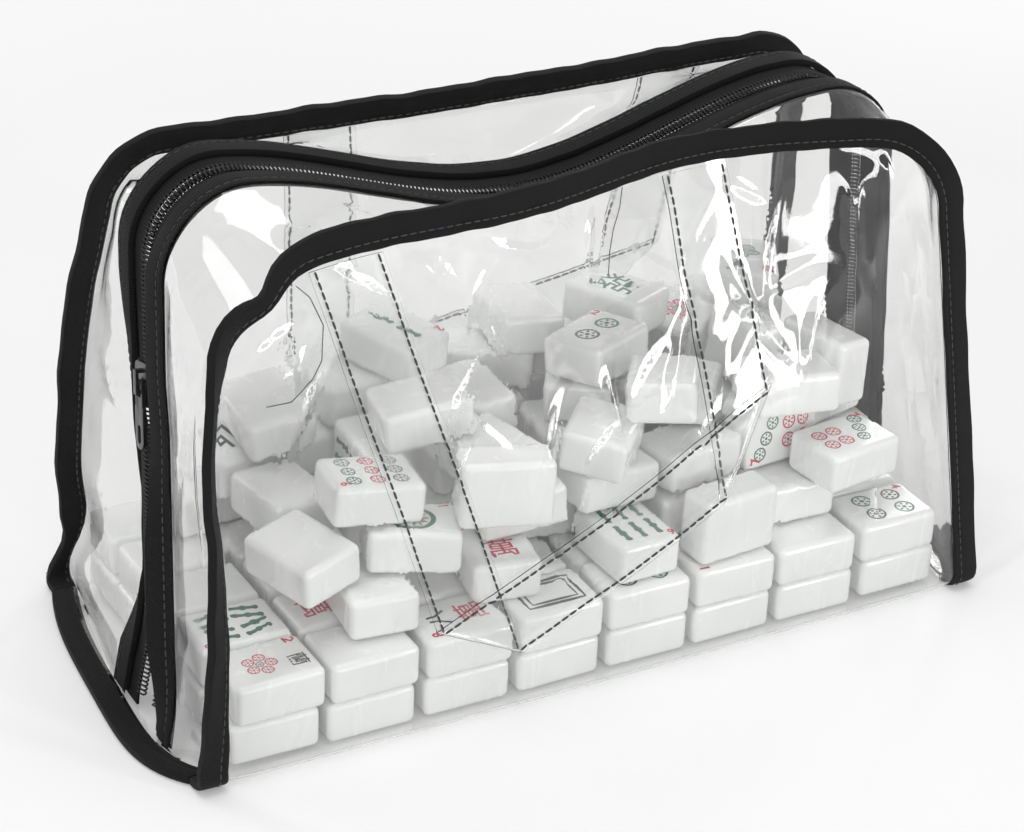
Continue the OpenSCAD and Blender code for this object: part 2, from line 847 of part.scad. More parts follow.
// Where the line at distance w beside a run meets the crease through p.
function on_crease(p, n, d, c, w) =
    let (s = -(w * n) * left_of(c) / (d * left_of(c)))
    p + w * n + s * d;

function strap_end_point(side, x) = [x, seam_top(side, x) - strap_end];

// The strip's line at distance w from its middle, as [panel point, height].
function strap_line(side, path, w) =
    let (
        t = strap_turns(path),
        d = t[0],
        c = t[1],
        n = t[2],
        a = strap_end_point(side, path[0][0] + w * n[0][0]),
        b = on_crease(path[1], n[0], d[0], c[0], w),
        e = on_crease(path[2], n[1], d[1], c[1], w),
        f = strap_end_point(side, path[3][0] + w * n[2][0]),
        mid = (layer_low + layer_high) / 2,
        bend = (layer_high - layer_low) / 2,
        out1 = unit(d[0] - (d[0] * c[0]) * c[0]),
        out2 = unit(d[1] - (d[1] * c[1]) * c[1])
    )
    concat(
        [for (k = [0:strap_rows]) [lerp(a, b, k / strap_rows), layer_low]],
        [[b + out1 * bend, mid]],
        [for (k = [0:strap_rows]) [lerp(b, e, k / strap_rows), layer_high]],
        [[e + out2 * bend, mid]],
        [for (k = [0:strap_rows]) [lerp(e, f, k / strap_rows), layer_low]]
    );

function raised(side, p, h) = on_panel(side, p) + panel_normal(side, p) * h;

module strap(side, path) {
    lines = [for (w = [-strap_w / 2, 0, strap_w / 2]) strap_line(side, path, w)];
    g = [for (k = [0:len(lines[0]) - 1]) [for (l = lines) raised(side, l[k][0], l[k][1])]];
    color([0.8, 0.84, 0.86, 0.5]) sheet(g, strap_t);
}

module front_strap() {
    strap(front, front_path);
}

module rear_strap() {
    strap(back, back_path);
}

// One run of stitching: a fine square tube on the strip's outer face.
module thread_run(side, from, to, h) {
    n = 12;
    r = thread_d / 2;
    d = unit(to - from);
    w = left_of(d);
    ring = [for (k = [0:n])
        let (
            p = lerp(from, to, k / n),
            q = raised(side, p, h),
            up = panel_normal(side, p),
            aside = unit(raised(side, p + w, h) - raised(side, p - w, h))
        )
        [q + aside * r, q + up * r, q - aside * r, q - up * r]];
    points = [for (q = ring) each q];
    walls = [for (k = [0:n - 1], j = [0:3])
        let (
            a = 4 * k + j,
            b = 4 * k + (j + 1) % 4
        )
        each [[a, b, b + 4], [a, b + 4, a + 4]]];
    ends = [[2, 1, 0], [3, 2, 0], [4 * n, 4 * n + 1, 4 * n + 2], [4 * n, 4 * n + 2, 4 * n + 3]];
    faces = concat(walls, ends);
    polyhedron(points = points, faces = side == front ? [for (f = faces) reversed(f)] : faces);
}

module strap_thread(side, path) {
    rise = strap_t / 2 + 0.16 + thread_d / 2;
    color([0.15, 0.15, 0.16])
    for (w = [-1, 1] * (strap_w / 2 - stitch_inset)) {
        line = strap_line(side, path, w);
        b = line[strap_rows][0];
        e = line[2 * strap_rows + 2][0];
        a = line[0][0];
        f = line[len(line) - 1][0];
        thread_run(side, a, b + unit(a - b) * 1.5, layer_low + rise);
        thread_run(side, b + unit(e - b) * 1.5, e + unit(b - e) * 1.5, layer_high + rise);
        thread_run(side, e + unit(f - e) * 1.5, f, layer_low + rise);
    }
}

module front_strap_thread() {
    strap_thread(front, front_path);
}

module rear_strap_thread() {
    strap_thread(back, back_path);
}

// ---------- tiles: dropped one by one, each comes to rest on those below ----------

tile_count = 144;
tile_half = [tile_l, tile_w, tile_t] / 2;
tries = 64;
shuffles = 8;
laid_cols = floor(case_width / (tile_l + 2.5));
laid_rows = floor((case_depth - 10) / (tile_w + 1));
layer_count = laid_cols * laid_rows;
loose_from = 95;
near_reach = norm([tile_l, tile_w, tile_t]);
wall_gap = film_t + tile_gap + 0.8;

// Half of a tile's extent along a direction; axes are the tile's own directions.
function extent(n, axes) =
    abs(n * axes[0]) * tile_half[0] + abs(n * axes[1]) * tile_half[1] + abs(n * axes[2]) * tile_half[2];

// Heights at which two tiles overlap, seen along one separating direction.
function overlap_span(n, a, b, dx, dy) =
    let (size = norm(n))
    size < 0.03 ? [-1000, 1000]
    : let (
        r = extent(n, a) + extent(n, b) + tile_gap * size,
        s = n[0] * dx + n[1] * dy
    )
    abs(n[2]) < 0.001 * size ? (abs(s) >= r ? [1000, -1000] : [-1000, 1000])
    : let (
        p = (-r - s) / n[2],
        q = (r - s) / n[2]
    )
    [min(p, q), max(p, q)];

// Height above tile b at which a tile with directions a clears it.
function rest_on(a, b, dx, dy) =
    let (
        spans = concat(
            [for (n = a) overlap_span(n, a, b, dx, dy)],
            [for (n = b) overlap_span(n, a, b, dx, dy)],
            [for (n = a, m = b) overlap_span(cross(n, m), a, b, dx, dy)]
        ),
        low = max([for (s = spans) s[0]]),
        high = min([for (s = spans) s[1]])
    )
    low < high ? high : -1000;

// The tiles near a place, each with its distance.
function nearby(x, y, placed) =
    [for (t = placed)
        let (d = norm([x - t[0][0], y - t[0][1]]))
        if (d < near_reach) [t, d]];

// No tile can rest lower here: the highest tile right below holds it up.
function least_height(near) =
    max(concat([0], [for (n = near) if (n[1] < tile_t) n[0][0][2] + tile_t]));

function rest_height(x, y, axes, near) =
    let (least = least_height(near))
    max(concat(
        [floor_under(abs(x) + extent([1, 0, 0], axes)) + tile_gap + extent([0, 0, 1], axes)],
        [for (n = near)
            let (t = n[0])
            if (t[0][2] + near_reach > least)
                t[0][2] + rest_on(axes, t[1], x - t[0][0], y - t[0][1])]
    ));

function wall_x(z) = seam_half(z) - wall_gap;

// A wall narrows towards the fold at its foot.
function wall_y(side, x, z) =
    let (rise = clamp(base_fold_r - z, 0, base_fold_r))
    panel_y(side, x, z) - base_fold_r + sqrt(base_fold_r * base_fold_r - rise * rise) - wall_gap;

// The bottom film climbs to the bindings near the side seams.
function floor_under(reach_x) =
    film_t / 2 + (reach_x > seam_half(0) - 18 ? edge_z : floor_z);

// The heap is highest a little right of the middle and slopes down to the front
// and most of all to the left.
function heap_lean(x, y) = 0.0012 * pow(x - 25, 2) - 0.05 * x - 0.16 * y;

// Slides a dropped tile in from the leaning walls until it fits, as a tile
// [centre, directions, height]. One that can't fit, or can't rest below the
// given height, is left very high.
function settle(x, y, axes, placed, below, steps = 2) =
    let (
        near = nearby(x, y, placed),
        lean = heap_lean(x, y)
    )
    least_height(near) + lean >= below ? [[x, y, 0], axes, 1000]
    : let (
        z = rest_height(x, y, axes, near),
        top = z + extent([0, 0, 1], axes),
        low = z - extent([0, 0, 1], axes),
        wide = extent([0, 1, 0], axes),
        lim_x = wall_x(top) - extent([1, 0, 0], axes),
        lim_front = wide - min(wall_y(front, x, top), wall_y(front, x, low)),
        lim_back = min(wall_y(back, x, top), wall_y(back, x, low)) - wide
    )
    abs(x) <= lim_x + 0.001 && y >= lim_front - 0.001 && y <= lim_back + 0.001 ? [[x, y, z], axes, z + lean]
    : steps == 0 ? [[x, y, z], axes, 500 + z]
    : settle(clamp(x, -lim_x, lim_x), clamp(y, lim_front, lim_back), axes, placed, below, steps - 1);

// Directions of a tile turned by yaw, standing on one of its sides and tilted.
function turned(v, axis, a) = v * cos(a) + cross(axis, v) * sin(a) + axis * (axis * v) * (1 - cos(a));
function tile_axes(stand_on, yaw, tilt, tilt_dir) =
    let (
        u = [cos(yaw), sin(yaw), 0],
        v = [-sin(yaw), cos(yaw), 0],
        w = [0, 0, 1],
        base = stand_on == 0 ? [u, v, w] : stand_on == 1 ? [u, w, -v] : [w, u, v],
        axis = [cos(tilt_dir), sin(tilt_dir), 0]
    )
    [for (b = base) turned(b, axis, tilt)];

// The first tiles lie flat in two layers of rows, a little out of line.
function laid(i, r, placed) =
    let (
        layer = floor(i / layer_count),
        col = i % laid_cols,
        row = floor((i % layer_count) / laid_cols),
        pitch_x = 2 * (wall_x((layer + 1) * tile_t) - 1) / laid_cols,
        pitch_y = 2 * (wall_y(back, case_width / 2, layer == 0 ? floor_z : 2 * tile_t) - 1) / laid_rows,
        slack = [pitch_x - tile_l, pitch_y - tile_w] / 3
    )
    settle(
        (col + 0.5 - laid_cols / 2) * pitch_x + slack[0] * (r[0] - 0.5),
        (row + 0.5 - laid_rows / 2) * pitch_y + slack[1] * (r[1] - 0.5),
        tile_axes(0, (r[2] > 0.5 ? 180 : 0) + 3 * (r[3] - 0.5), 0, 0),
        layer == 0 ? [] : placed, 1000
    );

// A drop at a random place: the early ones nearly square and flat, the later
// ones turned and tilted at random and kept towards the heap's middle.
function drop(i, r, q, placed, below) =
    let (
        late = smooth((i - loose_from) / 40),
        x = lerp(-1, 1, r[q]) * (case_width / 2 - 18) * (1 - 0.12 * late) + 8 * late,
        y = lerp(-1, 1, r[q + 1]) * (case_depth / 2 - 12) * (1 - 0.12 * late) + 4 * late,
        side = r[q + 2] < lerp(0.8, 0.6, late) ? 0 : r[q + 2] < 0.92 ? 1 : 2,
        square_yaw = 90 * floor(4 * r[q + 3]) + 20 * (r[q + 4] - 0.5),
        yaw = late > 0.3 ? 360 * r[q + 3] : square_yaw,
        tilt = lerp(6, 34, late) * r[q + 4] * r[q + 5],
        axes = tile_axes(side, yaw, tilt, 360 * r[q + 5])
    )
    settle(x, y, axes, placed, below);

// The lowest of several drops.
function best_drop(i, r, placed, k = 0, best = [[0, 0, 0], [], 900]) =
    k == tries ? best
    : let (t = drop(i, r, 6 * k, placed, best[2]))
    best_drop(i, r, placed, k + 1, t[2] < best[2] ? t : best);

// A tile rocks and shuffles a little and stays wherever that brings it lower.
function shuffled(tile, r, q, placed, k = 0) =
    k == shuffles ? tile
    : let (
        b = q + 5 * k,
        axis = unit([r[b] - 0.5, r[b + 1] - 0.5, 0.6 * (r[b + 2] - 0.5) + 0.01]),
        axes = [for (d = tile[1]) turned(d, axis, 26 * (r[b + 2] - 0.5))],
        x = tile[0][0] + 12 * (r[b + 3] - 0.5),
        y = tile[0][1] + 12 * (r[b + 4] - 0.5),
        moved = settle(x, y, axes, placed, tile[2])
    )
    shuffled(moved[2] < tile[2] ? moved : tile, r, q, placed, k + 1);

function pile(i = 0, placed = []) =
    i >= tile_count ? placed
    : let (
        r = rands(0, 1, 6 * tries + 5 * shuffles, pile_seed * 1000 + i),
        tile = i < 2 * layer_count ? laid(i, r, placed)
            : shuffled(best_drop(i, r, placed), r, 6 * tries, placed)
    )
    pile(i + 1, concat(placed, [tile]));

// The set is shuffled: suit 0 to 5 for circles, bamboo, characters, winds, dragons, flowers.
suit_ends = [36, 72, 108, 124, 136, 144];
function suit_of(i) =
    let (n = (i * 43 + 7) % tile_count)
    len([for (e = suit_ends) if (n >= e) e]);

module tile_body() {
    translate([0, 0, -tile_t / 2])
    linear_extrude(tile_t)
    union() {
        square([tile_l - 2 * tile_r, tile_w], center = true);
        square([tile_l, tile_w - 2 * tile_r], center = true);
        for (x = [-1, 1], y = [-1, 1])
            translate([x * (tile_l / 2 - tile_r), y * (tile_w / 2 - tile_r)])
            circle(tile_r);
    }
}

module tile_group(suit) {
    all = pile();
    color([0.95, 0.95, 0.94])
    for (i = [0:tile_count - 1])
        if (suit_of(i) == suit)
            stand(all[i][0], all[i][1][1], all[i][1][2])
            tile_body();
}

module circle_tiles() {
    tile_group(0);
}

module bamboo_tiles() {
    tile_group(1);
}

module character_tiles() {
    tile_group(2);
}

module wind_tiles() {
    tile_group(3);
}

module dragon_tiles() {
    tile_group(4);
}

module flower_tiles() {
    tile_group(5);
}

body_sheet();
front_gusset();
rear_gusset();
front_binding();
rear_binding();
left_bottom_binding();
right_bottom_binding();
front_zip_binding();
rear_zip_binding();
front_zip_tape();
rear_zip_tape();
front_zip_teeth();
rear_zip_teeth();
slider_body();
pull_tab();
front_strap();
rear_strap();
front_strap_thread();
rear_strap_thread();
circle_tiles();
bamboo_tiles();
character_tiles();
wind_tiles();
dragon_tiles();
flower_tiles();
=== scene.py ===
"""Dresses the clear zip case and its loose playing tiles.

Sizes of the soft goods are in millimetres, as in the source of the solids, and
become metres when a mesh is made. X runs along the front, the front panel faces
-Y and Z points up.
"""

import logging
import math
import random
from dataclasses import dataclass, field
from enum import Enum, IntEnum
from typing import Optional, Sequence

import bpy
import numpy as np
from mathutils import Matrix, Vector


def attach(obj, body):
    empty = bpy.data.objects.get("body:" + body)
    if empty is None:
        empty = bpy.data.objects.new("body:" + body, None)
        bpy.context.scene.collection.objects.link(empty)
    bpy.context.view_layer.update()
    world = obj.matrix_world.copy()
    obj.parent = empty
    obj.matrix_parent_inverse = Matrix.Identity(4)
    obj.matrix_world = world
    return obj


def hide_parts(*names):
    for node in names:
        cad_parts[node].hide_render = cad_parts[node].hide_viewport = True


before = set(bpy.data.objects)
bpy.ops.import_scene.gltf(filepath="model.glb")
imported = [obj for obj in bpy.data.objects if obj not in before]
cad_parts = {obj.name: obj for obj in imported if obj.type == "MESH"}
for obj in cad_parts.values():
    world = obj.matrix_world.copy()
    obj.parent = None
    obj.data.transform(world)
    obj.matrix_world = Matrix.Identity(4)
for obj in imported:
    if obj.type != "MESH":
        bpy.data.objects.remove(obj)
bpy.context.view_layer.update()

MM = 0.001
ROOT = "case"
log = logging.getLogger("case")

Point = np.ndarray
Grid = np.ndarray
Colour = tuple[float, float, float, float]
Object = bpy.types.Object
Material = bpy.types.Material
Tree = bpy.types.NodeTree
Node = bpy.types.Node
Socket = bpy.types.NodeSocket
Sockets = bpy.types.bpy_prop_collection


class Side(IntEnum):
    """The two large panels, by the sign of their place in Y."""

    FRONT = -1
    BACK = 1

    @property
    def word(self) -> str:
        """The word that the solids' names use for this side."""
        return "front" if self is Side.FRONT else "rear"


class Ink(IntEnum):
    """The printing colours, by their material slot."""

    RED = 0
    GREEN = 1
    BLACK = 2


class Suit(Enum):
    """The six groups of tiles, by the name of their solids."""

    CIRCLES = "circle_tiles"
    BAMBOO = "bamboo_tiles"
    CHARACTERS = "character_tiles"
    WINDS = "wind_tiles"
    DRAGONS = "dragon_tiles"
    FLOWERS = "flower_tiles"


# ---- small helpers


def vec(*values: float) -> Point:
    """A point or direction from its numbers."""
    return np.array(values, float)


def unit(v: Point) -> Point:
    """The direction of v, with length one along the last axis."""
    return v / np.maximum(np.linalg.norm(v, axis=-1, keepdims=True), 1e-9)


def smooth(t: float) -> float:
    """A smooth step from 0 to 1."""
    c = min(max(t, 0.0), 1.0)
    return c * c * (3 - 2 * c)


def hump(t: float, reach: float) -> float:
    """1 at t = 0, and less with each reach away from it."""
    return math.exp(-((t / reach) ** 2))


def running_lengths(points: np.ndarray) -> np.ndarray:
    """The length of a line up to each of its points."""
    return np.concatenate([[0], np.cumsum(np.linalg.norm(np.diff(points, axis=0), axis=1))])


def bell(t: float) -> float:
    """A round bump that is 1 at 0 and fades to 0 at 1 and -1."""
    return math.cos(math.pi / 2 * t) ** 2 if abs(t) < 1 else 0.0


def mix(a: Point, b: Point, t: float) -> Point:
    """The point at share t of the way from a to b."""
    return a + (b - a) * t


def deselect() -> None:
    """Leaves edit mode and deselects every object."""
    if bpy.context.object and bpy.context.object.mode != "OBJECT":
        bpy.ops.object.mode_set(mode="OBJECT")
    bpy.ops.object.select_all(action="DESELECT")


def make_active(obj: Object) -> None:
    """Selects only this object and makes it active."""
    deselect()
    obj.select_set(True)
    bpy.context.view_layer.objects.active = obj


def apply_modifiers(obj: Object) -> None:
    """Applies every modifier of the object, in order."""
    make_active(obj)
    for name in [m.name for m in obj.modifiers]:
        bpy.ops.object.modifier_apply(modifier=name)


def shade(obj: Object, degrees: float = 40.0) -> None:
    """Shades the object smooth, except over edges sharper than the angle.

    Args:
        obj: The object.
        degrees: The largest angle that is still smoothed.
    """
    make_active(obj)
    bpy.ops.object.shade_smooth_by_angle(angle=math.radians(degrees))


def finish_piece(
    obj: Object,
    materials: Sequence[Material],
    replaced: Sequence[str] = (),
    body: str = ROOT,
) -> None:
    """Gives a finished piece its materials and its place in the frame.

    Args:
        obj: The piece.
        materials: Its materials, in slot order.
        replaced: The solids that it stands for.
        body: The body that it rides on.
    """
    if len(obj.data.materials):
        obj.data.materials.clear()
    for material in materials:
        obj.data.materials.append(material)
    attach(obj, body)
    if replaced:
        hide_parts(*replaced)
    log.info("%s: %d faces", obj.name, len(obj.data.polygons))


def finish_closed(
    obj: Object, degrees: float, material: Material, replaced: Sequence[str] = ()
) -> None:
    """Turns a closed mesh outwards, shades it and finishes it as part of the case.

    Args:
        obj: The piece.
        degrees: The largest angle that is shaded smooth.
        material: Its material.
        replaced: The solids that it stands for.
    """
    face_outwards(obj)
    shade(obj, degrees)
    finish_piece(obj, [material], replaced)


def linked(name: str, data: bpy.types.ID) -> Object:
    """A new object with its data, linked to the scene."""
    obj = bpy.data.objects.new(name, data)
    bpy.context.scene.collection.objects.link(obj)
    return obj


def new_object(
    name: str,
    points: np.ndarray,
    faces: Sequence[Sequence[int]],
    uv: Optional[np.ndarray] = None,
) -> Object:
    """A mesh object from points in millimetres.

    Args:
        name: The object's name.
        points: The points, one row each.
        faces: The faces, as point numbers.
        uv: A place on the surface for each point, in millimetres.

    Returns:
        The object, linked to the scene.
    """
    mesh = bpy.data.meshes.new(name)
    mesh.from_pydata((np.asarray(points, float) * MM).tolist(), [], [list(map(int, f)) for f in faces])
    if uv is not None:
        layer = mesh.uv_layers.new(name="surface")
        index = np.zeros(len(mesh.loops), np.int32)
        mesh.loops.foreach_get("vertex_index", index)
        layer.data.foreach_set("uv", (np.asarray(uv, np.float32)[index] * MM).ravel())
    mesh.validate()
    mesh.update()
    return linked(name, mesh)


def grid_faces(rows: int, cols: int) -> list[list[int]]:
    """The quads of a grid of points, as point numbers."""
    corners = (0, 1, cols + 1, cols)
    return [[i * cols + j + c for c in corners] for i in range(rows - 1) for j in range(cols - 1)]


def grid_normals(g: Grid) -> Grid:
    """The surface directions of a grid of points."""
    return unit(np.cross(np.gradient(g, axis=0), np.gradient(g, axis=1)))


def grid_uv(g: Grid) -> Grid:
    """Running lengths along and across a grid of points, in millimetres."""
    across = np.linalg.norm(np.diff(g, axis=1), axis=2)
    along = np.linalg.norm(np.diff(g, axis=0), axis=2)
    u = np.concatenate([np.zeros((g.shape[0], 1)), np.cumsum(across, axis=1)], axis=1)
    v = np.concatenate([np.zeros((1, g.shape[1])), np.cumsum(along, axis=0)], axis=0)
    return np.stack([u, v], axis=-1)


def finer(g: Grid, edge: int) -> Grid:
    """A grid with a smoothly placed point between each two neighbours.

    Args:
        g: The grid.
        edge: The number of columns at each side that stay straight between points.

    Returns:
        The grid with twice the cells each way.
    """

    def doubled(a: Grid, straight: int) -> Grid:
        """The grid with points added between its rows."""
        middle = (a[:-1] + a[1:]) / 2
        curved = (-a[:-3] + 9 * a[1:-2] + 9 * a[2:-1] - a[3:]) / 16
        low, high = max(straight, 1), len(a) - 1 - max(straight, 1)
        middle[low:high] = curved[low - 1:high - 1]
        out = np.empty((2 * len(a) - 1,) + a.shape[1:])
        out[0::2], out[1::2] = a, middle
        return out

    across = doubled(np.swapaxes(g, 0, 1), edge)
    return doubled(np.swapaxes(across, 0, 1), 2)


def shell_object(name: str, g: Grid, thickness: float) -> Object:
    """A closed thin sheet round a grid of points.

    Args:
        name: The object's name.
        g: The sheet's middle surface, in millimetres.
        thickness: The sheet's thickness in millimetres.

    Returns:
        The object, whose surface is measured by its running lengths.
    """
    rows, cols = g.shape[:2]
    count = rows * cols
    half = grid_normals(g) * thickness / 2
    points = np.concatenate([(g + half).reshape(-1, 3), (g - half).reshape(-1, 3)])
    faces = grid_faces(rows, cols)
    faces += [[i + count for i in reversed(f)] for f in faces]
    rim = list(range(cols))
    rim += [i * cols + cols - 1 for i in range(1, rows)]
    rim += [(rows - 1) * cols + j for j in range(cols - 2, -1, -1)]
    rim += [i * cols for i in range(rows - 2, 0, -1)]
    faces += [[b, a, a + count, b + count] for a, b in zip(rim, rim[1:] + rim[:1])]
    return new_object(name, points, faces, np.concatenate([grid_uv(g).reshape(-1, 2)] * 2))


def swept_object(name: str, rings: np.ndarray) -> Object:
    """A closed tube through rings of points, with both ends capped.

    Args:
        name: The object's name.
        rings: The rings along the tube, in millimetres.

    Returns:
        The object, whose surface runs across in u and along in v.
    """
    rows, cols = rings.shape[:2]
    loop = np.concatenate([rings, rings[:, :1]], axis=1)
    uv = grid_uv(loop)[:, :cols]
    faces = [
        [i * cols + j, i * cols + (j + 1) % cols, (i + 1) * cols + (j + 1) % cols, (i + 1) * cols + j]
        for i in range(rows - 1)
        for j in range(cols)
    ]
    faces += [list(range(cols - 1, -1, -1)), [(rows - 1) * cols + j for j in range(cols)]]
    return new_object(name, rings.reshape(-1, 3), faces, uv.reshape(-1, 2))


def face_outwards(obj: Object) -> None:
    """Turns the faces of a closed mesh outwards."""
    make_active(obj)
    bpy.ops.object.mode_set(mode="EDIT")
    bpy.ops.mesh.select_all(action="SELECT")
    bpy.ops.mesh.normals_make_consistent(inside=False)
    bpy.ops.object.mode_set(mode="OBJECT")


# ---- the outline


# Bows of the left side seams: each one's size, height and reach.
LEFT_BOWS = {Side.FRONT: ((7.7, 125, 48),), Side.BACK: ((4.4, 115, 50), (-4.5, 30, 17))}

# Turns in degrees at rising heights: the front left flange forwards, and the
# bindings beside the left of the zip.
FLANGE_TURNS = ((10, 22, 37, 67, 96, 140, 158, 171), (0, 18, 30, 45, 60, 60, 36, 0))
ZIP_TURNS = {
    Side.FRONT: ((6, 20, 34, 70, 85, 100, 160, 172), (0, 25, 46, 46, 30, 16, 13, 0)),
    Side.BACK: ((18, 32, 40, 48, 76, 100, 125, 150), (0, 22, 34, 58, 62, 34, 14, 0)),
}


@dataclass
class Outline:
    """The seams, panels and zip line that all the soft pieces share."""

    width: float = 308.0
    depth: float = 150.0
    height: float = 182.0
    side_lean: float = 16.0
    panel_lean: float = 26.0
    front_corner_r: float = 28.0
    back_corner_r: float = 19.0
    fold_r: float = 8.0
    belly: float = 4.0
    right_bulge: float = 12.0
    left_bulge: float = 14.0
    front_bow: float = 18.0
    front_bow_x: float = 52.0
    front_bow_half: float = 100.0
    back_bow: float = 4.0
    dent_depth: float = 5.0
    dent_size: float = 10.0
    dent_pinch: float = 0.42
    pinch_reach: float = 11.0
    corner_sag: float = 5.0
    corner_sag_reach: float = 28.0
    rear_pinch: float = 0.5
    rear_pinch_z: float = 16.0
    rear_pinch_reach: float = 9.0
    film_t: float = 0.6
    lap_gap: float = 0.2
    flange: float = 9.0
    tape_t: float = 0.8
    tape_gap: float = 0.25
    zip_fold_w: float = 9.5
    zip_rise: float = 8.0
    zip_sag: float = 24.0
    zip_corner_r: float = 30.0
    gusset_swell: float = 6.0
    zip_tape_t: float = 0.9
    zip_tape_w: float = 11.2
    tape_edge: float = 3.3
    fold_edge: float = 9.5
    tooth_lap: float = 1.2
    row_parting: float = 2.4
    slider_height: float = 119.0
    slider_l: float = 15.0
    foot_y: float = -22.0
    shoulder_y: float = 12.0
    foot_flare: float = 0.3
    side_count: int = 36
    corner_count: int = 7
    top_cells: int = 76
    fold_steps: int = 6
    bottom_steps: int = 16

    def __post_init__(self) -> None:
        """Works out the counts and the lines that the pieces share."""
        self.left_count = self.side_count + self.corner_count
        self.top_count = 2 * (self.corner_count + 1) + self.top_cells - 1
        self.first_left = self.fold_steps
        self.first_top = self.fold_steps + self.left_count - 1
        self.last = 2 * self.first_top + self.top_count - 1
        self.edge_z = self.tape_t + self.tape_gap + self.film_t / 2
        self.floor_z = self.film_t / 2
        self.lap = self.film_t + self.lap_gap
        self.film_n = self.zip_tape_t / 2 + 2 * self.tape_gap + self.tape_t + self.film_t / 2
        self.seams = {side: self.seam_frames(side) for side in Side}
        self.zip_line = self.zip_frames()

    def seam_half(self, z: float) -> float:
        """Half the width between the side seams at height z."""
        return self.width / 2 - self.side_lean * z / self.height

    def zip_half(self, z: float) -> float:
        """Half the width between the zip's two sides at height z."""
        return self.seam_half(z) + self.gusset_swell - self.film_n

    def corner_r(self, side: Side) -> float:
        """The corner radius of a panel's seam."""
        return self.front_corner_r if side is Side.FRONT else self.back_corner_r

    def corner_point(self, half: float, top: float, r: float, degrees: float) -> Point:
        """A point of the upper left corner's arc."""
        a = math.radians(degrees)
        return vec(-(half - r * (1 - math.cos(a))), top - r * (1 - math.sin(a)))

    def left_side(self, half_low: float, half_high: float, low: float, top: float, r: float) -> list[Point]:
        """The left side of an outline, up to the middle of its corner.

        Args:
            half_low: Half the width at the foot.
            half_high: Half the width where the corner starts.
            low: The height of the foot.
            top: The height of the top.
            r: The corner radius.

        Returns:
            The points, from the foot upwards.
        """
        points = []
        for k in range(self.side_count):
            t = k / (self.side_count - 1)
            points.append(vec(-(half_low + (half_high - half_low) * t), low + (top - r - low) * t))
        for k in range(1, self.corner_count + 1):
            points.append(self.corner_point(half_high, top, r, 45 * k / self.corner_count))
        return points

    def top_side(self, half_high: float, top: float, r: float) -> list[Point]:
        """The top of an outline, between the middles of its corners."""
        left = [
            self.corner_point(half_high, top, r, 45 + 45 * k / self.corner_count)
            for k in range(self.corner_count + 1)
        ]
        inner = half_high - r
        middle = [vec(-inner + 2 * inner * k / self.top_cells, top) for k in range(1, self.top_cells)]
        right = [vec(-p[0], p[1]) for p in reversed(left)]
        return left + middle + right

    def panel_y(self, side: Side, x: float, z: float) -> float:
        """Distance of a panel from the middle plane."""
        rise = min(max(z / self.height, 0.0), 1.1) ** 2
        swell = self.belly * math.sin(math.pi * min(max(z / (0.8 * self.height), 0.0), 1.0))
        y = self.depth / 2 - self.panel_lean * z / self.height + swell * bell(x / (self.seam_half(z) + 10))
        if side is Side.FRONT:
            return y - self.front_bow * bell((x - self.front_bow_x) / self.front_bow_half) * rise
        return y - self.back_bow * bell(x / self.seam_half(0)) * rise

    @property
    def dent_at(self) -> Point:
        """The panel point at which the front left corner is dented."""
        r = self.front_corner_r
        return self.corner_point(self.seam_half(self.height - r), self.height, r, 50)

    def dent_push(self, side: Side, p: Point) -> float:
        """How far the dent and the sag round it move a panel point."""
        if side is Side.BACK:
            return 0.0
        far = float(np.linalg.norm(p - self.dent_at))
        sag = self.corner_sag * hump(far, self.corner_sag_reach)
        return self.dent_depth * hump(far, self.dent_size) + sag

    def dented(self, side: Side, p: Point) -> Point:
        """A seam point, moved by the dent in the front left corner."""
        return p + self.dent_push(side, p) * vec(0.6, -0.8)

    def bowed(self, side: Side, p: Point) -> Point:
        """A seam point, moved by the bow of the left side seams."""
        share = smooth((-p[0] - 90) / 40) * smooth((p[1] - 9) / 16)
        bow = sum(size * hump(p[1] - at, reach) for size, at, reach in LEFT_BOWS[side])
        return p - vec(bow * share, 0)

    def flange_bend(self, side: Side, p: Point) -> float:
        """How far the front left flange is turned forwards, in radians."""
        if side is Side.BACK or p[0] > -100:
            return 0.0
        return math.radians(np.interp(p[2], *FLANGE_TURNS))

    def seam_share(self, side: Side, p: Point) -> float:
        """The share of the full seam width that is left at a seam point."""
        flat = vec(p[0], p[2])
        if side is Side.FRONT:
            pinch_at = self.dent_at + (self.dent_depth + self.corner_sag) * vec(0.6, -0.8)
            return 1 - self.dent_pinch * hump(np.linalg.norm(flat - pinch_at), self.pinch_reach)
        foot = vec(-self.seam_half(self.rear_pinch_z), self.rear_pinch_z)
        return 1 - self.rear_pinch * hump(np.linalg.norm(flat - foot), self.rear_pinch_reach)

    def seam_top(self, side: Side, x: float) -> float:
        """The height of a panel's top seam over a point of its width."""
        return self.height - 0.8 * self.dent_push(side, vec(x, self.height))

    def on_panel(self, side: Side, p: Point) -> Point:
        """The point in space of a panel's point."""
        return vec(p[0], side * self.panel_y(side, p[0], p[1]), p[1])

    def panel_normal(self, side: Side, p: Point) -> Point:
        """The outward direction of a panel at one of its points."""
        dx = self.on_panel(side, p + vec(1, 0)) - self.on_panel(side, p - vec(1, 0))
        dz = self.on_panel(side, p + vec(0, 1)) - self.on_panel(side, p - vec(0, 1))
        return unit(-side * np.cross(dx, dz))

